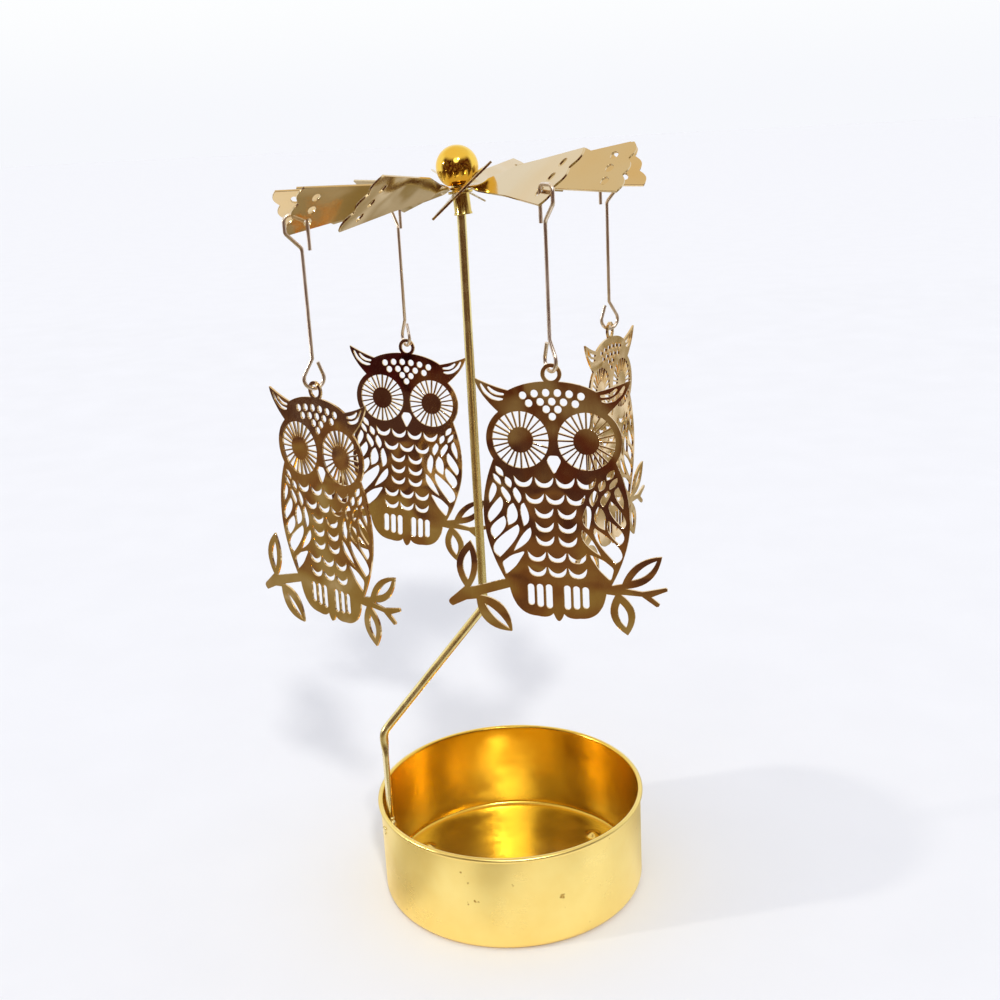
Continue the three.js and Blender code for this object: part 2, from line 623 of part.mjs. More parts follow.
const rotor = new THREE.Group();
rotor.position.set(-POST_OFFSET, 0, PIVOT_HEIGHT);
const leanAxis = new THREE.Vector3(-Math.sin(rad(LEAN_TOWARD)), Math.cos(rad(LEAN_TOWARD)), 0);
rotor.quaternion.setFromAxisAngle(leanAxis, rad(LEAN));
rotor.add(piece('rotor_plate', rotorPlate(), polished('#cdb98c', 0.22)));
rotor.add(piece('finial_ball', ball(), polished('#d9a021', 0.12)));
rotor.add(piece('pivot_bush', bush(), polished('#a8923c', 0.25)));
holder.add(rotor);
rotor.updateMatrixWorld(true);

const holeDrop = bladePoint(HOLE_ROW_RADIUS, -HOLE_PITCH, 0);
for (let i = 0; i < HANGER_COUNT; i += 1) {
  const turn = rad(HANGER_TURN) + (2 * Math.PI * i) / HANGER_COUNT;
  const reach = Math.hypot(holeDrop[0], holeDrop[1]);
  const hole = new THREE.Vector3(reach * Math.cos(turn), reach * Math.sin(turn), holeDrop[2]);
  rotor.localToWorld(hole);
  const hanging = new THREE.Group();
  hanging.position.copy(hole);
  hanging.rotation.z = turn;
  hanging.add(piece(`hanger_${i + 1}`, hanger(), polished('#b5965a', 0.3)));
  const figure = piece(`owl_${i + 1}`, owl(), polished('#c89b3c', 0.08));
  figure.position.set(LINE_OUT, 0, -LINE_DROP - (RING_HOLE - WIRE_RADIUS - SEAT_GAP));
  figure.rotation.set(0, -rad(OWL_TILTS[i]), rad(OWL_TURNS[i]) - turn, 'ZYX');
  hanging.add(figure);
  holder.add(hanging);
}

export default holder;
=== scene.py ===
# %% [markdown]
# # A brass candle holder that turns
#
# A shallow brass cup holds a tea light. A bent rod rises beside the flame, and a wheel of twelve
# slanted blades balances on the rod's needle point. Warm air pushes the blades round, and four thin
# owls cut from sheet brass swing on wire hooks below them. This file dresses a finished CAD model of
# the holder: it keeps the model's places and joints, and replaces each part by a finer one.

import json
import math
import random

import bmesh
import bpy
from mathutils import Matrix, Vector


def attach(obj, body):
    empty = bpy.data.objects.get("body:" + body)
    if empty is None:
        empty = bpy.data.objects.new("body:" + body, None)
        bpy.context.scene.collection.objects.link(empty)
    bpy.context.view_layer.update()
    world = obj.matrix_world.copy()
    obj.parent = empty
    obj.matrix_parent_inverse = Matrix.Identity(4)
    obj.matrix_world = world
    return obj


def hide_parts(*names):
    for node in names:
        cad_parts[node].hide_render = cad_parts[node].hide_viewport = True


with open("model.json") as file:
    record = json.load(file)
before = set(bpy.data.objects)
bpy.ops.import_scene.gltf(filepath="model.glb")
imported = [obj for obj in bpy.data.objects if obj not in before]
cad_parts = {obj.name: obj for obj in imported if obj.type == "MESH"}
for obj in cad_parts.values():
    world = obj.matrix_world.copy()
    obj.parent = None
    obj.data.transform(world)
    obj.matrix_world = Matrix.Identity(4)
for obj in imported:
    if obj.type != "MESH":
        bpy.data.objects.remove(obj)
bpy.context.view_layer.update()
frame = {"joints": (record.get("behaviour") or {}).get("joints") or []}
joints = {joint["name"]: joint for joint in frame["joints"]}
print("joints:", len(joints))

# %% [markdown]
# ## Sizes
#
# The holder is drawn in millimetres, because that is how a brass worker measures, and each finished
# mesh is shrunk to metres when it is placed. A few sizes drive the rest. Places on the wheel come
# from the model's joints, so a wire can't end up beside its own hole.

# %% Sizes shared by several pieces
MM = 0.001
PLAY = 0.3            # clearance between two pieces that don't hold each other

CUP_RADIUS = 28.0
CUP_HEIGHT = 21.2
CUP_SHEET = 0.6
POST_OFFSET = 3.6     # the post stands this far from the cup's middle, so the flame clears it
WIRE_RADIUS = 0.35
LINE_OUT = 1.45       # a wire's straight line hangs this far outside its hook's hole
LINE_DROP = 29.8      # from a hook's hole down to the bottom of its eye
HANGER_TURN = 9.0     # degrees from the x axis to the first hanger
HANGER_COUNT = 4

pivot = Vector(joints["rotor_spin"]["pos_m"]) / MM
lean = Vector((0, 0, 1)).rotation_difference(Vector(joints["rotor_spin"]["axis"]))
print("the wheel balances at", [round(c, 2) for c in pivot], "mm and leans",
      round(math.degrees(lean.angle), 2), "degrees")

# %% [markdown]
# ## Camera
#
# The photograph was taken close to the holder, a little above the wheel, and slightly tilted. A lens
# of about 45 mm on a 36 mm sensor, set by matching the cup's rim, the post and the wires, gives the
# same view. The three axes are worked out first, and then written into the camera's matrix: that is
# more exact than aiming it by hand.

# %% Camera
VIEW_TURN = 18.4      # degrees from the photograph's sideways axis to the model's x axis
CAMERA_PLACE = Vector((4.97, -240.4, 159.15))
CAMERA_YAW, CAMERA_PITCH, CAMERA_ROLL = -0.94, 16.97, -2.95
FOCAL_PIXELS = 1248.9
IMAGE_PIXELS = 1000
SENSOR = 36.0

to_model = Matrix.Rotation(math.radians(-VIEW_TURN), 3, "Z")
yaw, pitch, roll = (math.radians(a) for a in (CAMERA_YAW, CAMERA_PITCH, CAMERA_ROLL))
ahead = Vector((math.sin(yaw) * math.cos(pitch), math.cos(yaw) * math.cos(pitch), -math.sin(pitch)))
level = Vector((math.cos(yaw), -math.sin(yaw), 0))
upright = level.cross(ahead)
side = math.cos(roll) * level + math.sin(roll) * upright
above = math.cos(roll) * upright - math.sin(roll) * level

camera_data = bpy.data.cameras.new("view")
camera_data.sensor_width = SENSOR
camera_data.lens = FOCAL_PIXELS / IMAGE_PIXELS * SENSOR
camera_data.clip_start = 0.01
camera = bpy.data.objects.new("view", camera_data)
axes = to_model @ Matrix((side, above, -ahead)).transposed()
camera.matrix_world = Matrix.Translation(to_model @ CAMERA_PLACE * MM) @ axes.to_4x4()
bpy.context.scene.collection.objects.link(camera)
bpy.context.scene.camera = camera
bpy.context.scene.view_settings.view_transform = "Standard"
print("camera lens", round(camera_data.lens, 2), "mm at", [round(c, 4) for c in camera.location])

# %% [markdown]
# ## Helpers for meshes
#
# Nearly everything here is one of three things: a turned piece, a bent wire or a cut sheet. Each gets
# one small helper that works in millimetres. A finished mesh is then placed and shrunk to metres, and
# its edges are marked sharp by angle, so that curved faces stay smooth and folds stay crisp.

# %% Placing a finished mesh
SHARP_ANGLE = 32.0


def placed(name, mesh, material, place=None):
    """An object named name from a mesh in millimetres, moved by the matrix place and put in metres."""
    mesh.transform(Matrix.Scale(MM, 4) @ (place or Matrix.Identity(4)))
    mesh.polygons.foreach_set("use_smooth", [True] * len(mesh.polygons))
    mesh.set_sharp_from_angle(angle=math.radians(SHARP_ANGLE))
    mesh.materials.append(material)
    piece = bpy.data.objects.new(name, mesh)
    bpy.context.scene.collection.objects.link(piece)
    print(name, len(mesh.vertices), "points", [round(c / MM, 1) for c in piece.dimensions], "mm")
    return piece


def mesh_of(name, work):
    """Ends a bmesh: faces turned outward, written to a new mesh."""
    bmesh.ops.recalc_face_normals(work, faces=work.faces[:])
    mesh = bpy.data.meshes.new(name)
    work.to_mesh(mesh)
    work.free()
    return mesh

# %% Turned pieces
def arc(r, z, radius, start, end, steps):
    """Points of a bend from one angle to another, as (radius, height) pairs."""
    turns = [math.radians(start + (end - start) * i / steps) for i in range(steps + 1)]
    return [(r + radius * math.cos(t), z + radius * math.sin(t)) for t in turns]


def turned(profile, segments):
    """A bmesh that a lathe would cut: profile is (radius, height) pairs that start and end on the axis."""
    work = bmesh.new()
    rings = []
    for r, z in profile:
        if r < 1e-6:
            rings.append([work.verts.new((0, 0, z))] * segments)
        else:
            turns = [2 * math.pi * k / segments for k in range(segments)]
            rings.append([work.verts.new((r * math.cos(t), r * math.sin(t), z)) for t in turns])
    for low, high in zip(rings, rings[1:]):
        for k in range(segments):
            corners = [low[k - 1], low[k], high[k], high[k - 1]]
            corners = [v for i, v in enumerate(corners) if v is not corners[i - 1]]
            if len(corners) > 2:
                work.faces.new(corners)
    return work

# %% Bent rods and wires
BEND_STEP = 6.0       # degrees between two sections round a bend


def bent(corners):
    """A path in the x-z plane through corners (x, z, bend radius), with round bends."""
    path = [Vector(corners[0][:2])]
    for before, here, after in zip(corners, corners[1:], corners[2:]):
        at, radius = Vector(here[:2]), here[2]
        back, on = (Vector(before[:2]) - at).normalized(), (Vector(after[:2]) - at).normalized()
        half = math.acos(max(-1.0, min(1.0, back.dot(on)))) / 2
        turn = math.pi - 2 * half
        centre = at + (back + on).normalized() * radius / math.sin(half)
        start = at + back * radius / math.tan(half) - centre
        sign = math.copysign(1, back.x * on.y - back.y * on.x)
        steps = max(2, math.ceil(turn / math.radians(BEND_STEP)))
        for k in range(steps + 1):
            path.append(centre + Matrix.Rotation(-sign * turn * k / steps, 2) @ start)
    path.append(Vector(corners[-1][:2]))
    return path


def swept(path, sides, section):
    """A closed tube along path. section(turn, point) gives the half sizes across and sideways."""
    work = bmesh.new()
    rings = []
    for i, at in enumerate(path):
        into = (at - path[max(i - 1, 0)]).normalized()
        out = (path[min(i + 1, len(path) - 1)] - at).normalized()
        along = (into + out).normalized()
        across = Vector((along.y, -along.x))
        ring = []
        for k in range(sides):
            a, b = section(2 * math.pi * k / sides, at)
            ring.append(work.verts.new((at.x + across.x * a, b, at.y + across.y * a)))
        rings.append(ring)
    for low, high in zip(rings, rings[1:]):
        for k in range(sides):
            work.faces.new((low[k - 1], low[k], high[k], high[k - 1]))
    work.faces.new(rings[0])
    work.faces.new(rings[-1])
    return work

# %% Cut sheets
EDGE_ROUND = 0.05     # a cut edge that tumbling has just broken


def cut_sheet(outline, holes):
    """A flat bmesh filled between one outline and its cut-outs."""
    work = bmesh.new()
    edges = []
    for loop in [outline, *holes]:
        points = [work.verts.new((x, y, 0)) for x, y in loop]
        edges += [work.edges.new((points[i - 1], points[i])) for i in range(len(points))]
    bmesh.ops.triangle_fill(work, use_beauty=True, use_dissolve=False, edges=edges, normal=(0, 0, 1))
    return work


def thickened(name, work, sheet):
    """A mesh of real thickness from a flat one, with its cut edges just broken."""
    flat = bpy.data.objects.new(name, mesh_of(name + "_flat", work))
    bpy.context.scene.collection.objects.link(flat)
    thick = flat.modifiers.new("sheet", "SOLIDIFY")
    thick.thickness, thick.offset = sheet, 0
    edge = flat.modifiers.new("edge", "BEVEL")
    edge.width, edge.segments, edge.limit_method = EDGE_ROUND, 1, "ANGLE"
    edge.angle_limit = math.radians(50)
    shaped = flat.evaluated_get(bpy.context.evaluated_depsgraph_get())
    mesh = bpy.data.meshes.new_from_object(shaped)
    bpy.data.objects.remove(flat)
    return mesh


def quad(start, middle, end, steps):
    """Points of a curve from start towards middle and on to end, without its first point."""
    points = []
    for i in range(1, steps + 1):
        t = i / steps
        a, b, c = (1 - t) ** 2, 2 * t * (1 - t), t * t
        points.append(tuple(a * p + b * q + c * s for p, q, s in zip(start, middle, end)))
    return points

# %% [markdown]
# ## Brass finishes
#
# Everything is brass, but no two parts shine alike. The cup was brushed while it turned on a lathe, so
# it glows instead of mirroring; the ball is polished and lacquered to a deep gold; the owls and
# blades are thin rolled sheet, bright as a mirror but never quite flat. Metal has no colour of its
# own apart from what it mirrors, so each finish is a tint, a roughness, and the small unevenness that
# breaks the mirror up. The tint and the roughness vary from nodes, and a bump adds the unevenness.

# %% Small helpers for material nodes
def new_metal(name, metallic=1.0):
    """A material with its shader, set to metal, and its node tree."""
    material = bpy.data.materials.new(name)
    material.use_nodes = True
    shader = material.node_tree.nodes["Principled BSDF"]
    shader.inputs["Metallic"].default_value = metallic
    return material, material.node_tree, shader


def noise(tree, vector, scale, detail=3.0, roughness=0.5):
    """A noise texture's value, read at vector."""
    node = tree.nodes.new("ShaderNodeTexNoise")
    node.inputs["Scale"].default_value = scale
    node.inputs["Detail"].default_value = detail
    node.inputs["Roughness"].default_value = roughness
    tree.links.new(vector, node.inputs["Vector"])
    return node.outputs["Fac"]


def ramp(tree, value, stops):
    """A colour for each value between 0 and 1, from (place, colour) stops."""
    node = tree.nodes.new("ShaderNodeValToRGB")
    while len(node.color_ramp.elements) < len(stops):
        node.color_ramp.elements.new(0.5)
    for element, (place, colour) in zip(node.color_ramp.elements, stops):
        element.position, element.color = place, (*colour, 1)
    tree.links.new(value, node.inputs["Fac"])
    return node.outputs["Color"]


def between(tree, value, low, high, start=0.0, end=1.0):
    """value from start..end spread over low..high."""
    node = tree.nodes.new("ShaderNodeMapRange")
    for socket, number in zip(("From Min", "From Max", "To Min", "To Max"), (start, end, low, high)):
        node.inputs[socket].default_value = number
    tree.links.new(value, node.inputs["Value"])
    return node.outputs["Result"]


def bump(tree, height, strength, distance, under=None):
    """A bump of real depth distance, in metres, laid over another when under is given."""
    node = tree.nodes.new("ShaderNodeBump")
    node.inputs["Strength"].default_value = strength
    node.inputs["Distance"].default_value = distance
    tree.links.new(height, node.inputs["Height"])
    if under:
        tree.links.new(under, node.inputs["Normal"])
    return node.outputs["Normal"]


def combined(tree, operation, first, second):
    """first and second put together by a sum, a difference or a product; each is a number or a socket."""
    node = tree.nodes.new("ShaderNodeMath")
    node.operation = operation
    for value, socket in zip((first, second), node.inputs):
        if isinstance(value, (int, float)):
            socket.default_value = value
        else:
            tree.links.new(value, socket)
    return node.outputs["Value"]


def mixed(tree, mode, share, below, above):
    """The colour above laid over below. Each is a colour or a socket; share is a number or a socket."""
    node = tree.nodes.new("ShaderNodeMix")
    node.data_type, node.blend_type = "RGBA", mode
    for value, socket in ((share, "Factor"), (below, "A"), (above, "B")):
        if isinstance(value, (int, float)):
            node.inputs[socket].default_value = value
        elif isinstance(value, tuple):
            node.inputs[socket].default_value = (*value, 1)
        else:
            tree.links.new(value, node.inputs[socket])
    return node.outputs["Result"]


def place_of(tree, stretch=(1, 1, 1)):
    """The point on the piece, stretched along each axis."""
    source = tree.nodes.new("ShaderNodeTexCoord")
    mapping = tree.nodes.new("ShaderNodeMapping")
    mapping.inputs["Scale"].default_value = stretch
    tree.links.new(source.outputs["Object"], mapping.inputs["Vector"])
    return mapping.outputs["Vector"]


def vector_math(tree, operation, vector, other=(0, 0, 0), result="Value"):
    """A vector's length, or its distance from other, or one of their products."""
    node = tree.nodes.new("ShaderNodeVectorMath")
    node.operation = operation
    node.inputs[1].default_value = other
    tree.links.new(vector, node.inputs[0])
    return node.outputs[result]

# %% Turned finish for the cup: fine rings round the axis, a few stains, and painted shade on the inner wall
INSIDE_SHINE = 0.1    # the brush reached the inside less, so it is this much less rough
# Bands over which the inner wall's painted shade fades; the first also fades its lesser roughness.
WALL_FADE = ((CUP_RADIUS - 0.4) * MM, (CUP_RADIUS - 0.2) * MM)     # through the wall, from in to out
CORNER_FADE = ((CUP_RADIUS - 2.2) * MM, (CUP_RADIUS - 0.7) * MM)   # from the floor to the wall


def turned_brass(name, pale, deep, inner_wall_shade, roughness, brushed):
    """Brass brushed on a lathe: rings round wall and floor, and painted shade as a deeper tint on the inner
    wall.
    """
    material, tree, shader = new_metal(name)
    place = place_of(tree)
    split = tree.nodes.new("ShaderNodeSeparateXYZ")
    tree.links.new(place, split.inputs["Vector"])
    from_axis = vector_math(tree, "LENGTH", vector_math(tree, "MULTIPLY", place, (1, 1, 0), "Vector"))
    rings = tree.nodes.new("ShaderNodeCombineXYZ")
    tree.links.new(from_axis, rings.inputs["X"])
    tree.links.new(split.outputs["Z"], rings.inputs["Y"])

    cloud = noise(tree, place, 55, 4, 0.6)
    tint = ramp(tree, cloud, [(0.3, deep), (0.62, pale)])
    # The inner wall's deeper tint is painted shade: the cup's hollow drawn darker and more saturated.
    inside = between(tree, from_axis, 1, 0, *WALL_FADE)
    on_wall = between(tree, from_axis, 0, 1, *CORNER_FADE)
    wall = combined(tree, "MULTIPLY", inside, on_wall)
    tint = mixed(tree, "MIX", wall, tint, inner_wall_shade)
    spots = noise(tree, place, 420, 2, 0.5)
    stain = ramp(tree, spots, [(0.735, (1, 1, 1)), (0.78, (0.42, 0.3, 0.16))])
    tree.links.new(mixed(tree, "MULTIPLY", 1, tint, stain), shader.inputs["Base Color"])

    line = noise(tree, rings.outputs["Vector"], 5200, 4, 0.7)
    smear = noise(tree, place, 130, 3, 0.6)
    worn = combined(tree, "ADD", combined(tree, "MULTIPLY", line, 0.35), smear)
    low, high = roughness
    outer = between(tree, worn, low, high, 0.35, 0.95)
    shine = combined(tree, "MULTIPLY", inside, INSIDE_SHINE)
    tree.links.new(combined(tree, "SUBTRACT", outer, shine), shader.inputs["Roughness"])

    relief = bump(tree, line, 0.35, 0.00002)
    relief = bump(tree, noise(tree, place, 90, 2), 0.5, 0.0004, relief)
    tree.links.new(relief, shader.inputs["Normal"])
    shader.inputs["Anisotropic"].default_value = brushed
    around = tree.nodes.new("ShaderNodeTangent")
    around.direction_type, around.axis = "RADIAL", "Z"
    tree.links.new(around.outputs["Tangent"], shader.inputs["Tangent"])
    return material


# The inner wall's deeper tint below is painted shade.
cup_brass = turned_brass(
    "cup_brass", (1.0, 0.81, 0.30), (0.95, 0.72, 0.23), inner_wall_shade=(0.86, 0.58, 0.09),
    roughness=(0.24, 0.36), brushed=0.55,
)
print("cup finish ready")

# %% Drawn, rolled and polished finishes for the rest
def sheen_brass(name, pale, deep, roughness, grain, wave, wave_scale=70, cloud_scale=90):
    """Brass with a smear of fingerprints, fine grain along one axis, and a slow wave."""
    material, tree, shader = new_metal(name)
    place = place_of(tree)
    drawn = place_of(tree, grain)
    cloud = noise(tree, place, cloud_scale, 4, 0.6)
    tree.links.new(ramp(tree, cloud, [(0.32, deep), (0.6, pale)]), shader.inputs["Base Color"])
    smear = noise(tree, place, 260, 4, 0.65)
    line = noise(tree, drawn, 900, 3, 0.6)
    low, high = roughness
    tree.links.new(between(tree, smear, low, high, 0.35, 0.75), shader.inputs["Roughness"])
    relief = bump(tree, line, 0.25, 0.00001)
    relief = bump(tree, noise(tree, place, wave_scale, 1), 1.0, wave, relief)
    tree.links.new(relief, shader.inputs["Normal"])
    return material


ALONG_X, ALONG_Z, NO_GRAIN = (0.05, 1, 1), (1, 1, 0.05), (1, 1, 1)    # the noise is long along the grain
rod_brass = sheen_brass("rod_brass", (0.98, 0.86, 0.43), (0.76, 0.63, 0.28), (0.2, 0.34), ALONG_Z, 0.0002)
ball_brass = sheen_brass("ball_brass", (1.0, 0.72, 0.13), (1.0, 0.60, 0.07), (0.08, 0.15), NO_GRAIN, 0.00005)
sleeve_brass = sheen_brass(
    "sleeve_brass", (0.86, 0.68, 0.22), (0.66, 0.50, 0.16), (0.14, 0.26), (1, 1, 0.1), 0.0001,
)
blade_brass = sheen_brass(
    "blade_brass", (0.74, 0.60, 0.38), (0.76, 0.54, 0.26), (0.05, 0.12), ALONG_X, 0.0006, cloud_scale=24,
)
owl_brass = sheen_brass(
    "owl_brass", (0.88, 0.69, 0.42), (0.78, 0.55, 0.28), (0.05, 0.13), (1, 1, 0.06), 0.0006,
)
wire_brass = sheen_brass("wire_brass", (0.95, 0.86, 0.78), (0.78, 0.66, 0.56), (0.25, 0.4), ALONG_Z, 0.0001)
print("finishes:", [m.name for m in bpy.data.materials if m.name.endswith("_brass")])

# %% [markdown]
# ## Cup
#
# The real cup is pressed from one disc: a flat floor, a tight bend, a straight wall and a narrow
# rolled lip. Three small pips pressed up from the floor keep the tea light in the middle. A profile
# turned round the axis is the natural way to draw it. The pips could be cut in afterwards, but the
# profile has a row of fine rings where they lie, so it is simpler to lift the points near each pip,
# above and below alike, as a punch does.

# %% Cup profile
CUP_SEGMENTS = 300
CUP_CORNER = 1.6
LIP_OUT = 0.5
LIP_DEPTH = 1.1
CORNER_STEPS, WALL_STEPS = 10, 12
RING_STEP = 0.3       # distance between two rings where the floor is pressed
RING_COUNT = 17
PIP_ROW = 21.9        # a tea light's radius, its play and the pip's radius
PIP_TOP, PIP_FOOT = 0.2, 2.0      # the pip's flat top, and where its slope ends
PIP_RISE = 0.8
PIP_TURNS = (15.0, 135.0, 255.0)

inner = CUP_RADIUS - CUP_SHEET
pip_rings = [PIP_ROW + RING_STEP * (i - RING_COUNT // 2) for i in range(RING_COUNT)]
floor_rings = [0, 9, 17, *pip_rings]
wall = CUP_HEIGHT - LIP_DEPTH - CUP_CORNER
wall_heights = [CUP_CORNER + wall * i / WALL_STEPS for i in range(1, WALL_STEPS + 1)]
lip_middle = CUP_RADIUS + LIP_OUT - (CUP_SHEET + LIP_OUT) / 2
lip_half = (CUP_SHEET + LIP_OUT) / 2
lip_top = CUP_HEIGHT - lip_half
profile = [(r, 0) for r in floor_rings]
profile += arc(CUP_RADIUS - CUP_CORNER, CUP_CORNER, CUP_CORNER, -90, 0, CORNER_STEPS)
profile += [(CUP_RADIUS, z) for z in wall_heights]
profile += arc(lip_middle, lip_top, lip_half, -50, 180, 18)
profile += [(inner, z) for z in reversed(wall_heights)]
bend = CUP_CORNER - CUP_SHEET
profile += arc(inner - bend, CUP_SHEET + bend, bend, 0, -90, CORNER_STEPS)
profile += [(r, CUP_SHEET) for r in reversed(floor_rings)]
print("cup profile points", len(profile))

# %% Cup with its pressed pips
def smooth(value, low, high):
    """0 below low, 1 above high, and an easy curve between."""
    t = max(0.0, min(1.0, (value - low) / (high - low)))
    return t * t * (3 - 2 * t)


shell = turned(profile, CUP_SEGMENTS)
pips = [Vector((PIP_ROW * math.cos(math.radians(a)), PIP_ROW * math.sin(math.radians(a)))) for a in PIP_TURNS]
for point in shell.verts:
    if point.co.z > CUP_SHEET + 0.01:
        continue
    nearest = min((point.co.xy - pip).length for pip in pips)
    point.co.z += PIP_RISE * (1 - smooth(nearest, PIP_TOP, PIP_FOOT))
cup_shell = placed("cup_shell", mesh_of("cup_shell", shell), cup_brass)

# %% [markdown]
# ## Stem
#
# One rod does everything: its flattened foot is brazed inside the cup, two bends bring it over the
# cup's middle, and its filed point carries the wheel. It is swept along one path, and only the
# section changes: flat with round corners at the foot, round in the rod, and thinner at the needle.

# %% Stem
ROD_RADIUS = 0.875
FOOT_THICK, FOOT_WIDTH = 1.0, 3.0
FOOT_BOTTOM, FOOT_TOP, FOOT_BLEND = 9.0, 37.6, 3.4
FOOT_END = 0.8        # the foot's lower end is filed down to this share
LOWER_BEND, UPPER_BEND, BEND_RADIUS = 39.6, 63.4, 3.2
NEEDLE_LENGTH, NEEDLE_TIP = 4.8, 0.12
foot_x = CUP_RADIUS - CUP_SHEET - PLAY - FOOT_THICK / 2
needle_foot = pivot.z - NEEDLE_LENGTH


def stem_section(turn, at):
    """Half sizes of the rod at a point of its path."""
    cos, sin = math.cos(turn), math.sin(turn)
    flat = [
        FOOT_THICK / 2 * math.copysign(abs(cos) ** 0.5, cos),
        FOOT_WIDTH / 2 * math.copysign(abs(sin) ** 0.5, sin),
    ]
    share = smooth(at.y, FOOT_TOP - FOOT_BLEND, FOOT_TOP)
    tip = max(0.0, (at.y - needle_foot) / NEEDLE_LENGTH)
    radius = ROD_RADIUS + (NEEDLE_TIP - ROD_RADIUS) * tip
    end = FOOT_END if at.y <= FOOT_BOTTOM + 0.01 else 1.0
    return [end * (a * (1 - share) + b * share) for a, b in zip(flat, (radius * cos, radius * sin))]


foot_steps = [Vector((-foot_x, FOOT_BOTTOM + 0.2)), Vector((-foot_x, FOOT_TOP - FOOT_BLEND))]
foot_steps += [Vector((-foot_x, FOOT_TOP - FOOT_BLEND * (1 - i / 8))) for i in range(1, 9)]
bends = bent([
    (-foot_x, FOOT_BOTTOM), (-foot_x, LOWER_BEND, BEND_RADIUS),
    (-POST_OFFSET, UPPER_BEND, BEND_RADIUS), (-POST_OFFSET, needle_foot),
])
rod_steps = [point for point in bends[1:] if point.y > FOOT_TOP]
stem_path = [bends[0], *foot_steps, *rod_steps, Vector((-POST_OFFSET, pivot.z))]
post_rod = placed("post_rod", mesh_of("post_rod", swept(stem_path, 32, stem_section)), rod_brass)

# %% [markdown]
# ## Braze
#
# Where the foot meets the wall, the braze has run into small rough lumps, and its heat left three
# marks on the outside. They are too small to carve, so each is a little dome, pulled about by seeded
# random numbers, and pressed against the wall.

# %% Braze lumps
LUMP_WAVES, LUMP_BUMP = 3.4, 0.09     # waves over a lump, and their height as a share of its radius
OUTER_RISE = 0.3                      # how far the outer domes stand out of the wall
LUMP_PLACES = [  # x, y, z and radius: inside by the foot's edges, and low domes outside
    (-26.55, -1.45, 18.9, 0.8), (-26.7, 1.35, 18.2, 0.7),
    (-26.9, -1.5, 17.3, 0.55), (-26.6, -1.2, 20.1, 0.55),
    (-27.95, -0.5, 17.6, 0.42), (-27.95, -0.3, 16.4, 0.36), (-27.95, 0.9, 17.1, 0.3),
]
chance = random.Random(7)
lumps = bmesh.new()
for x, y, z, radius in LUMP_PLACES:
    middle = Vector((x, y, z))
    to_middle = Matrix.Translation(middle)
    made = bmesh.ops.create_icosphere(lumps, subdivisions=3, radius=radius, matrix=to_middle)
    phase = [chance.uniform(0, 6) for _ in range(3)]
    for point in made["verts"]:
        out = point.co - middle
        wave = sum(math.sin(LUMP_WAVES * c / radius + p) for c, p in zip(out, phase))
        point.co = middle + out * (1 + LUMP_BUMP * wave)
        point.co.x = max(point.co.x, -CUP_RADIUS - OUTER_RISE)
braze_lumps = placed("braze_lumps", mesh_of("braze_lumps", lumps), rod_brass)

# %% [markdown]
# ## Wheel
#
# The wheel is one stamping: a ring round the bush, and twelve arms that widen to scalloped tips. One
# arm is cut flat and copied round, so all twelve outlines are equal. Then its narrow neck is twisted,
# because that is what the real sheet did, and last the whole wheel gets its thickness. Fingers did
# the twisting, so each arm slips from the common slant by up to a degree, and mirrors another place.

# %% One arm's flat outline
PLATE_SHEET = 0.4
BLADE_COUNT = 12
BLADE_PITCH = 36.7
TWIST_SLIPS = (0.6, -0.8, 0.4, -0.5, 0.9, -0.6, -0.9, 0.7, -0.4, 0.8, -0.7, 0.3)   # degrees off the pitch
EDGE_STEPS, TWIST_STEPS = 36, 11
HUB_RADIUS, BUSH_RADIUS = 4.6, 1.6
NECK_HALF, TWIST_END, TWIST_HALF = 1.05, 9.0, 1.7
SHOULDER_RADIUS, SHOULDER_HALF = 15.5, 4.1
TRAIL_RADIUS, TRAIL_HALF = 20.0, 3.6
TIP_RADIUS, TIP_HALF = 34.2, 6.6
LOBES, LOBE_DEPTH = 3, 0.9
EDGE_STRIP = 3.9      # from the tip in to the row of holes
HOLE_ROW, HOLE_PITCH, HOLE_LENGTH, HOLE_WIDTH = TIP_RADIUS - EDGE_STRIP, 3.4, 2.0, 1.5


def on_circle(radius, degrees):
    """The point at that radius, so many degrees round from the x axis."""
    turn = math.radians(degrees)
    return radius * math.cos(turn), radius * math.sin(turn)


lobe = 2 * TIP_HALF / LOBES
edge = [-TIP_HALF + 2 * TIP_HALF * i / EDGE_STEPS for i in range(EDGE_STEPS + 1)]
scallops = [(TIP_RADIUS - LOBE_DEPTH * (1 - abs(math.cos(math.pi * c / lobe))), c) for c in edge]
half_sector = 180 / BLADE_COUNT
neck_turn = math.degrees(math.asin(NECK_HALF / HUB_RADIUS))
bore = BUSH_RADIUS + PLAY
arm = [on_circle(bore, -half_sector)]
arm += [on_circle(HUB_RADIUS, -half_sector + (half_sector - neck_turn) * i / 3) for i in range(4)]
arm += [(TWIST_END, -TWIST_HALF), (TRAIL_RADIUS, -TRAIL_HALF), *scallops]
arm += [(SHOULDER_RADIUS, SHOULDER_HALF), (TWIST_END, TWIST_HALF)]
arm += [on_circle(HUB_RADIUS, neck_turn + (half_sector - neck_turn) * i / 3) for i in range(4)]
arm += [on_circle(bore, half_sector - half_sector * i / 3) for i in range(6)]
ovals = []
for c in (-HOLE_PITCH, 0, HOLE_PITCH):
    turns = [2 * math.pi * i / 28 for i in range(28)]
    oval = [(HOLE_WIDTH / 2 * math.sin(t), HOLE_LENGTH / 2 * math.cos(t)) for t in turns]
    ovals.append([(HOLE_ROW + x, c + y) for x, y in oval])
print("arm outline points", len(arm))

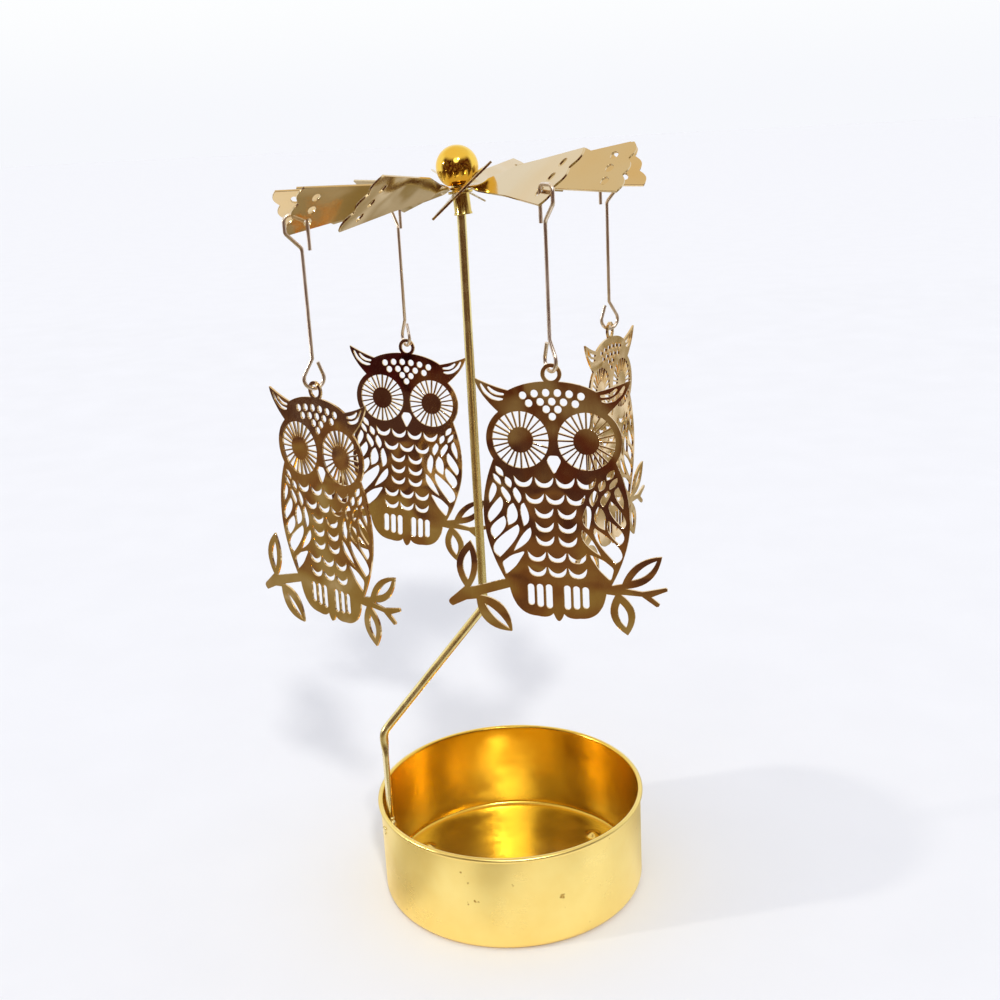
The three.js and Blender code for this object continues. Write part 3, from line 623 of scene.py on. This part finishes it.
# %% The wheel
flat_arm = cut_sheet(arm, ovals)
for i in range(1, TWIST_STEPS + 1):
    station = HUB_RADIUS + (TWIST_END - HUB_RADIUS) * i / TWIST_STEPS
    everything = flat_arm.verts[:] + flat_arm.edges[:] + flat_arm.faces[:]
    bmesh.ops.bisect_plane(flat_arm, geom=everything, dist=1e-5, plane_co=(station, 0, 0), plane_no=(1, 0, 0))
bmesh.ops.triangulate(flat_arm, faces=flat_arm.faces[:])
arm_mesh = mesh_of("arm", flat_arm)
hook_lag = math.degrees(math.atan2(HOLE_PITCH * math.cos(math.radians(BLADE_PITCH)), HOLE_ROW))
wheel = bmesh.new()
for i, slip in enumerate(TWIST_SLIPS):
    bent_arm = arm_mesh.copy()
    for point in bent_arm.vertices:
        twist = math.radians(BLADE_PITCH + slip) * smooth(point.co.x, HUB_RADIUS, TWIST_END)
        point.co = (point.co.x, point.co.y * math.cos(twist), point.co.y * math.sin(twist))
    turn = HANGER_TURN + hook_lag + 360 * i / BLADE_COUNT
    bent_arm.transform(Matrix.Rotation(math.radians(turn), 4, "Z"))
    wheel.from_mesh(bent_arm)
    bpy.data.meshes.remove(bent_arm)
bmesh.ops.remove_doubles(wheel, verts=wheel.verts[:], dist=0.002)
on_pivot = Matrix.Translation(pivot) @ lean.to_matrix().to_4x4()
blade_wheel = placed("blade_wheel", thickened("blade_wheel", wheel, PLATE_SHEET), blade_brass, on_pivot)

# %% [markdown]
# ## Ball and sleeve
#
# A polished ball is pushed on the top of a short sleeve, and the two clamp the wheel between them. The
# sleeve is hollow below, and its cone sits on the needle. Both are turned, and share the wheel's lean.

# %% Ball
BALL_RADIUS, BALL_DROP, SLEEVE_IN_BALL = 3.98, 3.3, 2.6
ball_flat = PLATE_SHEET / 2 + PLAY
ball_middle = ball_flat + BALL_DROP
lowest = math.degrees(math.asin(-BALL_DROP / BALL_RADIUS))
ball_profile = [(0, SLEEVE_IN_BALL + PLAY), (bore, SLEEVE_IN_BALL + PLAY), (bore, ball_flat)]
ball_profile += arc(0, ball_middle, BALL_RADIUS, lowest, 90, 48)[:-1] + [(0, ball_middle + BALL_RADIUS)]
top_ball = placed("top_ball", mesh_of("top_ball", turned(ball_profile, 96)), ball_brass, on_pivot)

# %% Sleeve
SLEEVE_BORE, SLEEVE_BELOW, SLEEVE_FLARE = 1.4, 4.9, 0.15
COLLAR_RADIUS, COLLAR, CONE = 2.3, 0.5, 0.9
collar_top = -PLATE_SHEET / 2 - PLAY
collar_low = collar_top - COLLAR
seat = PLAY + NEEDLE_TIP
flared = BUSH_RADIUS + SLEEVE_FLARE
sleeve_profile = [
    (0, seat), (SLEEVE_BORE, seat - CONE), (SLEEVE_BORE, -SLEEVE_BELOW), (flared - 0.05, -SLEEVE_BELOW),
    (flared, -SLEEVE_BELOW + 0.06), (flared - 0.03, -SLEEVE_BELOW + 0.3), (BUSH_RADIUS, -SLEEVE_BELOW + 0.5),
    (BUSH_RADIUS, collar_low), (COLLAR_RADIUS - 0.08, collar_low), (COLLAR_RADIUS, collar_low + 0.08),
    (COLLAR_RADIUS, collar_top - 0.08), (COLLAR_RADIUS - 0.08, collar_top), (BUSH_RADIUS, collar_top),
    (BUSH_RADIUS, SLEEVE_IN_BALL), (0, SLEEVE_IN_BALL),
]
sleeve_mesh = mesh_of("pivot_sleeve", turned(sleeve_profile, 72))
pivot_sleeve = placed("pivot_sleeve", sleeve_mesh, sleeve_brass, on_pivot)

# %% [markdown]
# ## Wire hooks
#
# Each owl hangs on one bent wire: a stub down through the blade's hole, an arch over the sheet, a
# kink back in under it, a straight line, and an eye closed round the owl's ring. Bending it as one
# path means that no joint between straight and curve can show.

# %% Wire path
ARCH_RISE, LEG_OUT, STUB, KINK_TOP, KINK_LOW, HOOK_BEND = 1.35, 4.3, 5.0, 1.7, 4.6, 1.2
EYE_RADIUS, EYE_HEIGHT = 1.9, 3.6
eye_middle = -LINE_DROP + EYE_RADIUS
eye_top = eye_middle + EYE_HEIGHT
wire_path = bent([
    (0, -STUB), (0, ARCH_RISE, HOOK_BEND), (LEG_OUT, ARCH_RISE, HOOK_BEND), (LEG_OUT, -KINK_TOP, HOOK_BEND),
    (LINE_OUT, -KINK_LOW, HOOK_BEND), (LINE_OUT, eye_top),
])
wire_path += [Vector(p) for p in arc(LINE_OUT, eye_middle, EYE_RADIUS, 25, -205, 40)]
wire_path.append(Vector((LINE_OUT - 2 * WIRE_RADIUS - PLAY, eye_top - 2 * WIRE_RADIUS)))


def wire_section(turn, at):
    """Half sizes of the wire, the same all along its path."""
    return WIRE_RADIUS * math.cos(turn), WIRE_RADIUS * math.sin(turn)


wires = []
for i in range(HANGER_COUNT):
    turn = HANGER_TURN + 360 * i / HANGER_COUNT
    outward = Vector((*on_circle(1, turn), 0))
    swing = Vector(joints[f"hanger_{i + 1}_swing"]["pos_m"]) / MM
    hole = swing - outward * LINE_OUT - Vector((0, 0, PLAY))
    place = Matrix.Translation(hole) @ Matrix.Rotation(math.radians(turn), 4, "Z")
    hook = swept(wire_path, 16, wire_section)
    wires.append(placed(f"wire_hook_{i + 1}", mesh_of("wire_hook", hook), wire_brass, place))

# %% [markdown]
# ## Owls
#
# An owl is etched from thin sheet, with everything but its outline made of holes: fans of thin spokes
# for the eyes, small crescents for the breast, pointed slips for the wings. It is drawn flat as loops
# of points. Only the right half is drawn, and mirrored, apart from the branch, whose leaves differ.
# Filling between loops makes clean cut edges, which catch the light in a way that a picture of holes
# on a plain sheet never would.

# %% Owl outline
OWL_SHEET = 0.4
RING_RADIUS, RING_HOLE = 1.85, 1.1
HOLE_EASE = 0.06      # the hole is this much wider, so that the wire clears it as the owl turns
EYE = (5.95, -11.8)
EYE_RIM = 6.3
BROW_TURN, CHEEK_TURN = 52, -35   # degrees, where the eye's rim is the outline
WING_SPAN, WING_WIDEST = 13.4, -25.8
PERCH = (9.9, -38.1)
TAIL_END = -44.9
STALK, LEAF_TIP = 0.55, 0.06      # half widths of a leaf's two ends
CURVE_STEPS = 10
LEAVES = [  # foot, tip, pull of the right and left side; then the hole's start, end and half width
    ((-17.3, -40.1), (-16.3, -30.95), 3.1, 4.4, 0.14, 0.78, 0.85),
    ((-15.3, -42.0), (-9.0, -48.4), 4.5, 4.4, 0.18, 0.92, 0.6),
    ((11.0, -39.8), (12.7, -47.5), 4.1, 4.1, 0.2, 0.8, 0.9),
    ((12.1, -38.1), (19.0, -32.1), 3.7, 3.1, 0.2, 0.86, 0.68),
]


def flank():
    """From the hanging ring down over the ear, the eye's rim and the wing, on the right side."""
    neck = RING_RADIUS * math.sqrt(0.5)
    brow = math.radians(BROW_TURN)
    points = [(neck, -neck)]
    points += quad(points[-1], (5.2, -1.5), (7.9, -3.0), CURVE_STEPS)
    points += quad(points[-1], (10.9, -2.28), (13.78, -0.9), CURVE_STEPS) + [(13.88, -1.0)]
    rim_top = (EYE[0] + EYE_RIM * math.cos(brow), EYE[1] + EYE_RIM * math.sin(brow))
    points += quad(points[-1], (13.4, -3.6), rim_top, CURVE_STEPS)
    points += arc(*EYE, EYE_RIM, BROW_TURN, CHEEK_TURN, 22)[1:]
    points += quad(points[-1], (WING_SPAN, -20.5), (WING_SPAN, WING_WIDEST), CURVE_STEPS)
    points += quad(points[-1], (WING_SPAN, -31.5), PERCH, 2 * CURVE_STEPS)
    return points


def leaf_at(points, leaf):
    """Adds a leaf's edge to the outline: out along one side, back along the other."""
    (x0, y0), (x1, y1), right_pull, left_pull, *_ = leaf
    along = Vector((x1 - x0, y1 - y0)).normalized()
    across = Vector((-along.y, along.x))
    base, middle = Vector((x0, y0)), Vector((x0 + x1, y0 + y1)) / 2
    tip = Vector((x1, y1)) - along * 2 * LEAF_TIP
    points.append(tuple(base - across * STALK))
    points += quad(points[-1], middle - across * right_pull, tip - across * LEAF_TIP, CURVE_STEPS)
    points.append(tuple(tip + across * LEAF_TIP))
    points += quad(points[-1], middle + across * left_pull, base + across * STALK, CURVE_STEPS)


def perch():
    """The branch with its leaves and the tail, from the left wing round to the right one."""
    points = [(-PERCH[0], PERCH[1])]
    leaf_at(points, LEAVES[0])
    points.append((-20.3, -42.2))
    points += quad(points[-1], (-21.9, -43.3), (-20.4, -44.1), CURVE_STEPS)
    points.append((-17.6, -42.7))
    leaf_at(points, LEAVES[1])
    points.append((-9.1, -39.7))
    points += quad(points[-1], (-8.1, TAIL_END), (-4, TAIL_END), CURVE_STEPS)
    points += quad(points[-1], (-1.8, TAIL_END - 0.4), (-1.0, TAIL_END + 0.7), 6)
    points += quad(points[-1], (0, TAIL_END - 2.2), (1.0, TAIL_END + 0.7), 12)
    points += quad(points[-1], (1.8, TAIL_END - 0.4), (4, TAIL_END), 6)
    points += quad(points[-1], (8.1, TAIL_END), (8.9, -39.8), CURVE_STEPS)
    leaf_at(points, LEAVES[2])
    points += [(15.3, -39.8), (17.9, -41.6), (18.35, -41.45), (18.5, -41.0), (17.0, -39.8), (19.85, -38.5)]
    points += [(19.88, -38.1), (19.6, -37.85), (15.4, -38.9)]
    leaf_at(points, LEAVES[3])
    points.append(PERCH)
    return points


right = flank()
left = [(-x, y) for x, y in right]
hoop = arc(0, 0, RING_RADIUS, -45, 225, 24)[1:-1]
owl_outline = [*hoop, *left, *perch()[1:-1], *reversed(right)]
print("owl outline points", len(owl_outline))

# %% Shapes of a cut-out
def sag(x, y, arch):
    """The height of a row at x: it bends down toward the flanks by arch, or up if that is below 0."""
    return y - arch * x * x


def rounded(corners, share=0.3):
    """A loop through corners, each cut off in a curve; share is how much of each side the curve takes."""
    points = []
    for i, here in enumerate(corners):
        back, on = corners[i - 1], corners[(i + 1) % len(corners)]
        start = tuple(h + (b - h) * share for h, b in zip(here, back))
        end = tuple(h + (o - h) * share for h, o in zip(here, on))
        points += [start, *quad(start, here, end, 4)]
    return points


def feather(top, inner, bottom, outer):
    """A pointed hole between top and bottom, bulging on each side to about inner and outer."""
    middle = (Vector(top) + Vector(bottom)) / 2
    points = []
    for start, through, end in ((top, inner, bottom), (bottom, outer, top)):
        points += quad(start, middle + (Vector(through) - middle) * FULLNESS, end, CURVE_STEPS)
    return points


def mirrored_pair(loop):
    """The loop and its mirror image on the owl's other side."""
    return [list(loop), [(-x, y) for x, y in loop]]

# %% Cut-outs of the head: ring hole, dots, beak, eyes and ear tufts
DOT_RADIUS, DOT_PITCH, DOT_ARC = 0.68, 2.08, 0.021
DOT_ROWS = [(6, -3.27), (5, -4.83), (2, -6.18), (1, -7.49)]   # dots in the row, height
PUPIL, IRIS = 2.35, 5.15
SPOKES, SPOKE = 24, 0.3
BEAK = [(-0.75, -14.5), (0.75, -14.5), (1.35, -15.5), (0, -18.0), (-1.35, -15.5)]
EAR_SLOTS = [
    [(12.7, -1.75), (11.64, -3.3), (10.38, -4.17), (8.75, -4.45), (8.85, -4.72), (9.7, -4.9), (11.05, -4.55),
     (12.4, -3.4), (12.95, -2.05)],
    [(11.35, -2.3), (10.51, -2.95), (9.59, -3.37), (8.55, -3.53), (8.65, -3.92), (9.99, -3.86), (11.02, -3.4),
     (11.65, -2.5)],
]

cuts = [arc(0, 0, RING_HOLE + HOLE_EASE, 0, 360, 28)[:-1], rounded(BEAK, 0.25)]
for count, y in DOT_ROWS:
    for i in range(count):
        x = (i - (count - 1) / 2) * DOT_PITCH
        cuts.append(arc(x, sag(x, y, DOT_ARC), DOT_RADIUS, 0, 360, 16)[:-1])
for i in range(SPOKES):
    wedge = []
    for radius, side_of in ((PUPIL, -1), (IRIS, -1), (IRIS, 1), (PUPIL, 1)):
        half = math.pi / SPOKES - SPOKE / 2 / radius
        t = 2 * math.pi * (i + 0.5) / SPOKES + side_of * half
        wedge.append((EYE[0] + radius * math.cos(t), EYE[1] + radius * math.sin(t)))
    cuts += mirrored_pair(wedge)
for loop in EAR_SLOTS:
    cuts += mirrored_pair(rounded(loop))
print("cut-outs of the head", len(cuts))

# %% Cut-outs of the body: breast crescents, wing feathers, tail and leaves
SCALE_WIDTH, SCALE_DEPTH, SCALE_HOLLOW, SCALE_ARC = 3.43, 1.9, 1.15, -0.003
SCALE_ROWS = [  # height of the tips, places along the row
    (-18.5, (-5.75, -1.92, 1.92, 5.75)), (-21.55, (-3.75, 0, 3.75)), (-24.2, (-2.1, 2.1)),
    (-26.8, (-2.1, 2.1)), (-29.4, (-2.1, 2.1)), (-32.45, (-3.75, 0, 3.75)), (-35.3, (-3.75, 0, 3.75)),
]
TAIL_SLOTS, TAIL_SLOT_WIDTH = (1.7, 3.4, 5.1), 1.25
TAIL_TOP, TAIL_LOW, TAIL_TOP_ARC, TAIL_LOW_ARC = -38.6, -43.35, 0.004, -0.02
FULLNESS = 1.95       # how far a feather's side is pulled past the place it should reach
FEATHERS = [  # top, inner side, bottom, outer side
    ((10.75, -16.7), (9.6, -17.4), (9.4, -18.6), (10.6, -17.9)),
    ((11.25, -18.1), (10.15, -18.95), (9.9, -20.2), (11.05, -19.3)),
    ((9.0, -18.6), (7.95, -19.4), (8.1, -20.65), (9.1, -19.8)),
    ((7.2, -20.55), (6.2, -22.2), (6.75, -23.5), (7.75, -21.6)),
    ((9.55, -20.5), (8.2, -22.3), (8.7, -23.45), (9.95, -21.35)),
    ((11.4, -19.8), (10.75, -21.2), (12.2, -23.7), (12.25, -21.9)),
    ((5.75, -23.4), (4.9, -26.2), (6.0, -27.75), (6.5, -24.6)),
    ((7.75, -23.5), (7.05, -26.2), (8.9, -27.7), (8.95, -24.9)),
    ((10.1, -22.4), (9.85, -24.5), (12.2, -27.3), (12.5, -25.4)),
    ((9.6, -26.0), (9.45, -28.0), (11.5, -30.4), (12.2, -28.4)),
    ((7.1, -27.5), (7.3, -29.8), (10.7, -33.9), (11.7, -31.4)),
    ((4.75, -27.95), (5.1, -30.3), (8.05, -32.6), (6.4, -29.6)),
]
LAST_FEATHER = [(5.8, -32.4), (7.7, -35.4), (9.75, -37.3), (10.4, -34.9), (8.5, -33.4)]


def crescent(x, y):
    """A breast feather's hole: hollow above, round below."""
    half = SCALE_WIDTH / 2
    start, end = (x - half, sag(x - half, y, SCALE_ARC)), (x + half, sag(x + half, y, SCALE_ARC))
    points = [start, *quad(start, (x - half, y - SCALE_DEPTH), (x, y - SCALE_DEPTH), 6)]
    points += quad(points[-1], (x + half, y - SCALE_DEPTH), end, 6)
    return points + quad(end, (x, y - 2 * SCALE_HOLLOW), start, 10)[:-1]


for y, places in SCALE_ROWS:
    cuts += [crescent(x, y) for x in places]
for x in TAIL_SLOTS:
    half = TAIL_SLOT_WIDTH / 2
    top = arc(x, sag(x, TAIL_TOP, TAIL_TOP_ARC) - half, half, 0, 180, 8)
    foot = arc(x, sag(x, TAIL_LOW, TAIL_LOW_ARC) + half, half, 180, 360, 8)
    cuts += mirrored_pair(top + foot)
for loop in [*[feather(*corners) for corners in FEATHERS], rounded(LAST_FEATHER, 0.25)]:
    cuts += mirrored_pair(loop)
for (x0, y0), (x1, y1), right_pull, left_pull, hole_start, hole_end, half in LEAVES:
    base, tip = Vector((x0, y0)), Vector((x1, y1))
    across = Vector((y0 - y1, x1 - x0)).normalized()
    start, end = base.lerp(tip, hole_start), base.lerp(tip, hole_end)
    middle = (start + end) / 2 + across * (left_pull - right_pull) / 4
    cuts.append(feather(start, middle - across * half, end, middle + across * half))
print("cut-outs in all", len(cuts))

# %% Four owls on their wires
OWL_TURNS = (46.2, -40.4, -61.4, -35.5)     # degrees, one for each owl
OWL_TILTS = (-1.0, -4.4, -1.3, -0.2)
owl_mesh = thickened("owl", cut_sheet(owl_outline, cuts), OWL_SHEET)
upright_sheet = Matrix.Rotation(math.radians(90), 4, "X")
hang = RING_HOLE - WIRE_RADIUS - PLAY
owls = []
for i in range(HANGER_COUNT):
    ring = Vector(joints[f"owl_{i + 1}_turn"]["pos_m"]) / MM - Vector((0, 0, hang))
    turn = Matrix.Rotation(math.radians(OWL_TURNS[i]), 4, "Z")
    tilt = Matrix.Rotation(math.radians(-OWL_TILTS[i]), 4, "Y")
    place = Matrix.Translation(ring) @ turn @ tilt @ upright_sheet
    owls.append(placed(f"owl_charm_{i + 1}", owl_mesh.copy(), owl_brass, place))

# %% [markdown]
# ## Tying the pieces to the model
#
# Each piece now takes the place of the model's own part and rides on the same body. When the wheel
# turns in the simulation, the pieces turn with it.

# %% Ride and replace each piece
for piece, body, node, slot in [
    (cup_shell, "base", "cup", "cup_sheet"), (post_rod, "base", "stem", "stem_rod"),
    (blade_wheel, "rotor", "rotor_plate", "rotor_sheet"), (top_ball, "rotor", "finial_ball", "ball"),
    (pivot_sleeve, "rotor", "pivot_bush", "bush"),
    *[(wire, f"hanger_{i}", f"hanger_{i}", "hanger_wire") for i, wire in enumerate(wires, 1)],
    *[(owl, f"owl_{i}", f"owl_{i}", "owl_sheet") for i, owl in enumerate(owls, 1)],
]:
    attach(piece, body)
    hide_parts(node)
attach(braze_lumps, "base")
print("pieces tied:", 6 + len(wires) + len(owls))

# %% [markdown]
# ## Table
#
# Polished sheet shows the room as much as itself: the owls hang over a white table and mirror it, with
# all that stands round it, as patches of brown, olive and near black. So the holder gets two floors.
# The one that the camera sees is plain white and goes on for ever. The other has a table's real size,
# and only metal sees it. Its colour is painted light and painted reflections: lighter on the side that
# the light comes from, fading away from the holder, with painted dim patches for what stands round it.
# One painted darker place behind the cup is a painted reflection of the owl that the near left blade
# mirrors. Painting the owls brown would be simpler, but the patches would then turn with them, and a
# mirror image does not.

# %% White floor
def matt(name):
    """A matt material, its node tree and its shader, still to be tinted."""
    material, tree, shader = new_metal(name, 0.0)
    shader.inputs["Roughness"].default_value = 0.9
    shader.inputs["Specular IOR Level"].default_value = 0.1
    return material, tree, shader


def flat_floor(name, corners, height, material):
    """A flat rectangle on the floor, drawn in the photograph's axes, in millimetres."""
    work = bmesh.new()
    (x0, y0), (x1, y1) = corners
    for x, y in ((x0, y0), (x1, y0), (x1, y1), (x0, y1)):
        work.verts.new((x, y, height))
    work.faces.new(work.verts)
    floor = placed(name, mesh_of(name, work), material)
    floor.rotation_euler.z = math.radians(-VIEW_TURN)
    return floor


white_paper, tree, shader = matt("white_paper")
fibre = noise(tree, place_of(tree), 40, 3)
paper_tint = ramp(tree, fibre, [(0.35, (0.855, 0.86, 0.88)), (0.65, (0.865, 0.87, 0.89))])
tree.links.new(paper_tint, shader.inputs["Base Color"])
endless_floor = flat_floor("endless_floor", ((-9000, -9000), (9000, 9000)), -0.02, white_paper)
endless_floor.visible_glossy = False

# %% Table top that only metal sees, coloured with painted light and painted reflections
# The table's colour is painted light: lighter toward the side that the light comes from, fading away from the
# holder.
LIGHT_SIDE = (0.6, 0.8, 1)         # the side of the table that the light comes from
LIGHT_EDGE = (-0.4, -0.05)         # metres toward that side, where dark turns to light
FAR_STRETCH = (2, 1, 1)            # to the sides the light fades twice as soon
FAR_EDGE, FAR_LOSS = (0.06, 0.22), 0.3          # metres from the holder, where the light fades again
# A painted dark patch: a painted reflection of the owl that the near left blade mirrors.
SHADE_PLACE = (0.022, 0.06, 0)     # behind the cup: what the near left blade mirrors
SHADE_EDGE, SHADE_LOSS = (0.02, 0.045), 0.4     # metres from there, where its shade ends
# Colours of the painted light, from deep painted shade and the darkest mirrored things to plain white:
TABLE_TINTS = [  # from the darkest things to plain white
    (0.0, (0.05, 0.012, 0.008)), (0.2, (0.17, 0.075, 0.022)), (0.42, (0.25, 0.18, 0.055)),
    (0.62, (0.31, 0.25, 0.13)), (0.8, (0.55, 0.50, 0.40)), (1.0, (0.96, 0.94, 0.90)),
]


# Only metal sees this table; its colour is painted light, painted shade and painted reflections.
painted_light_table, tree, shader = matt("painted_light_table")
apart = tree.nodes.new("ShaderNodeSeparateXYZ")
tree.links.new(place_of(tree, LIGHT_SIDE), apart.inputs["Vector"])
toward_light = combined(tree, "ADD", apart.outputs["X"], apart.outputs["Y"])
# Painted reflections: random patches of tone for the things that stand round the table.
painted_room_patches = between(tree, noise(tree, place_of(tree), 20, 2, 0.5), -0.3, 0.3, 0.3, 0.7)
light = combined(tree, "ADD", between(tree, toward_light, 0, 1, *LIGHT_EDGE), painted_room_patches)
far = vector_math(tree, "LENGTH", place_of(tree, FAR_STRETCH))
# The painted light fades away from the holder, twice as soon to the sides.
light = combined(tree, "SUBTRACT", light, between(tree, far, 0, FAR_LOSS, *FAR_EDGE))
# The painted dark reflection of an owl behind the cup.
shaded = vector_math(tree, "DISTANCE", place_of(tree), SHADE_PLACE)
light = combined(tree, "SUBTRACT", light, between(tree, shaded, SHADE_LOSS, 0, *SHADE_EDGE))
tree.links.new(ramp(tree, light, TABLE_TINTS), shader.inputs["Base Color"])
table_top = flat_floor("table_top", ((-700, -330), (700, 900)), -0.01, painted_light_table)
table_top.visible_camera = table_top.visible_diffuse = table_top.visible_shadow = False

# %% [markdown]
# ## Room and lamps
#
# Three kinds of ray meet the room, and each finds another one. The camera finds a white wall, matt
# things find an even soft sky, and metal finds a real room: white behind, dark with things in it in
# front, a warm ceiling, and one bright window that draws the streak down the cup. Two lamps cast the
# two shadows. A low one on the left throws the cup's long shadow to the right, and one in front,
# above the camera, throws the owls' shadows behind the cup.

# %% Helpers for the room
world = bpy.data.worlds.new("room")
bpy.context.scene.world = world
world.use_nodes = True
room = world.node_tree
room.nodes.clear()


def room_light(colour, strength):
    """A plain light of the room."""
    node = room.nodes.new("ShaderNodeBackground")
    node.inputs["Color"].default_value = (*colour, 1)
    node.inputs["Strength"].default_value = strength
    return node.outputs["Background"]


def blend(factor, first, second):
    """The first light where factor is 0, the second where it is 1."""
    node = room.nodes.new("ShaderNodeMixShader")
    room.links.new(factor, node.inputs["Fac"])
    room.links.new(first, node.inputs[1])
    room.links.new(second, node.inputs[2])
    return node.outputs["Shader"]


def sight():
    """The direction in which a ray leaves the scene."""
    return room.nodes.new("ShaderNodeTexCoord").outputs["Generated"]


def toward(direction):
    """How much a ray points along direction: 1 where it does, 0 where it is square to it."""
    return vector_math(room, "DOT_PRODUCT", sight(), direction)


def eased(value, start, end):
    """0 below start, 1 above end, and an easy curve between."""
    node = room.nodes.new("ShaderNodeMapRange")
    node.interpolation_type = "SMOOTHSTEP"
    node.inputs["From Min"].default_value, node.inputs["From Max"].default_value = start, end
    room.links.new(value, node.inputs["Value"])
    return node.outputs["Result"]


def side_on(side, height):
    """A direction from degrees: side is its turn from the photograph's right, height its elevation."""
    across, up = math.radians(side), math.radians(height)
    return to_model @ Vector((math.cos(across) * math.cos(up), math.sin(across) * math.cos(up), math.sin(up)))


print("room helpers ready")

# %% Room
TO_CAMERA, CAMERA_EDGE = (270, 0), (-0.15, 0.25)      # side and height in degrees, and the cosines
TO_WINDOW, WINDOW_EDGE = (268, 36), (0.965, 0.985)    # between which one light turns into the next
CEILING_EDGE, HORIZON_EDGE = (0.5, 0.8), (0, 0.12)
UP = (0, 0, 1)

back_wall = room_light((1.0, 1.0, 1.0), 0.95)
dark_room = room_light((1.0, 1.0, 1.0), 0.32)
things = ramp(room, noise(room, sight(), 7, 2), [
    (0.34, (0.02, 0.006, 0.01)), (0.44, (0.22, 0.03, 0.035)),
    (0.54, (0.38, 0.15, 0.06)), (0.64, (0.75, 0.55, 0.3)),
])
room.links.new(things, dark_room.node.inputs["Color"])
ceiling = room_light((1.0, 0.88, 0.66), 0.85)
window = room_light((1.0, 0.98, 0.9), 1.8)
mirrored_room = blend(eased(toward(side_on(*TO_CAMERA)), *CAMERA_EDGE), back_wall, dark_room)
mirrored_room = blend(eased(toward(UP), *CEILING_EDGE), mirrored_room, ceiling)
mirrored_room = blend(eased(toward(side_on(*TO_WINDOW)), *WINDOW_EDGE), mirrored_room, window)

soft_sky = room_light((0.945, 0.96, 1.03), 0.81)
horizon = room_light((0.93, 0.94, 0.98), 1.0)
high_wall = room_light((0.99, 1.0, 1.0), 1.0)
seen = blend(eased(toward(UP), *HORIZON_EDGE), horizon, high_wall)
ray = room.nodes.new("ShaderNodeLightPath")
lighting = blend(ray.outputs["Is Glossy Ray"], soft_sky, mirrored_room)
lighting = blend(ray.outputs["Is Camera Ray"], lighting, seen)
output = room.nodes.new("ShaderNodeOutputWorld")
room.links.new(lighting, output.inputs["Surface"])
print("room ready")

# %% Lamps
def lamp(name, side, height, spread, strength, colour):
    """A far lamp, placed as side_on says, and spread over so many degrees."""
    data = bpy.data.lights.new(name, "SUN")
    data.angle, data.energy, data.color = math.radians(spread), strength, colour
    light = bpy.data.objects.new(name, data)
    light.rotation_euler = side_on(side, height).to_track_quat("Z", "Y").to_euler()
    bpy.context.scene.collection.objects.link(light)
    print(name, "strength", strength)


lamp("low_lamp", 191, 17.5, 3, 0.85, (1, 0.96, 0.86))
lamp("front_lamp", 283, 43, 5, 1.1, (1, 0.98, 0.93))
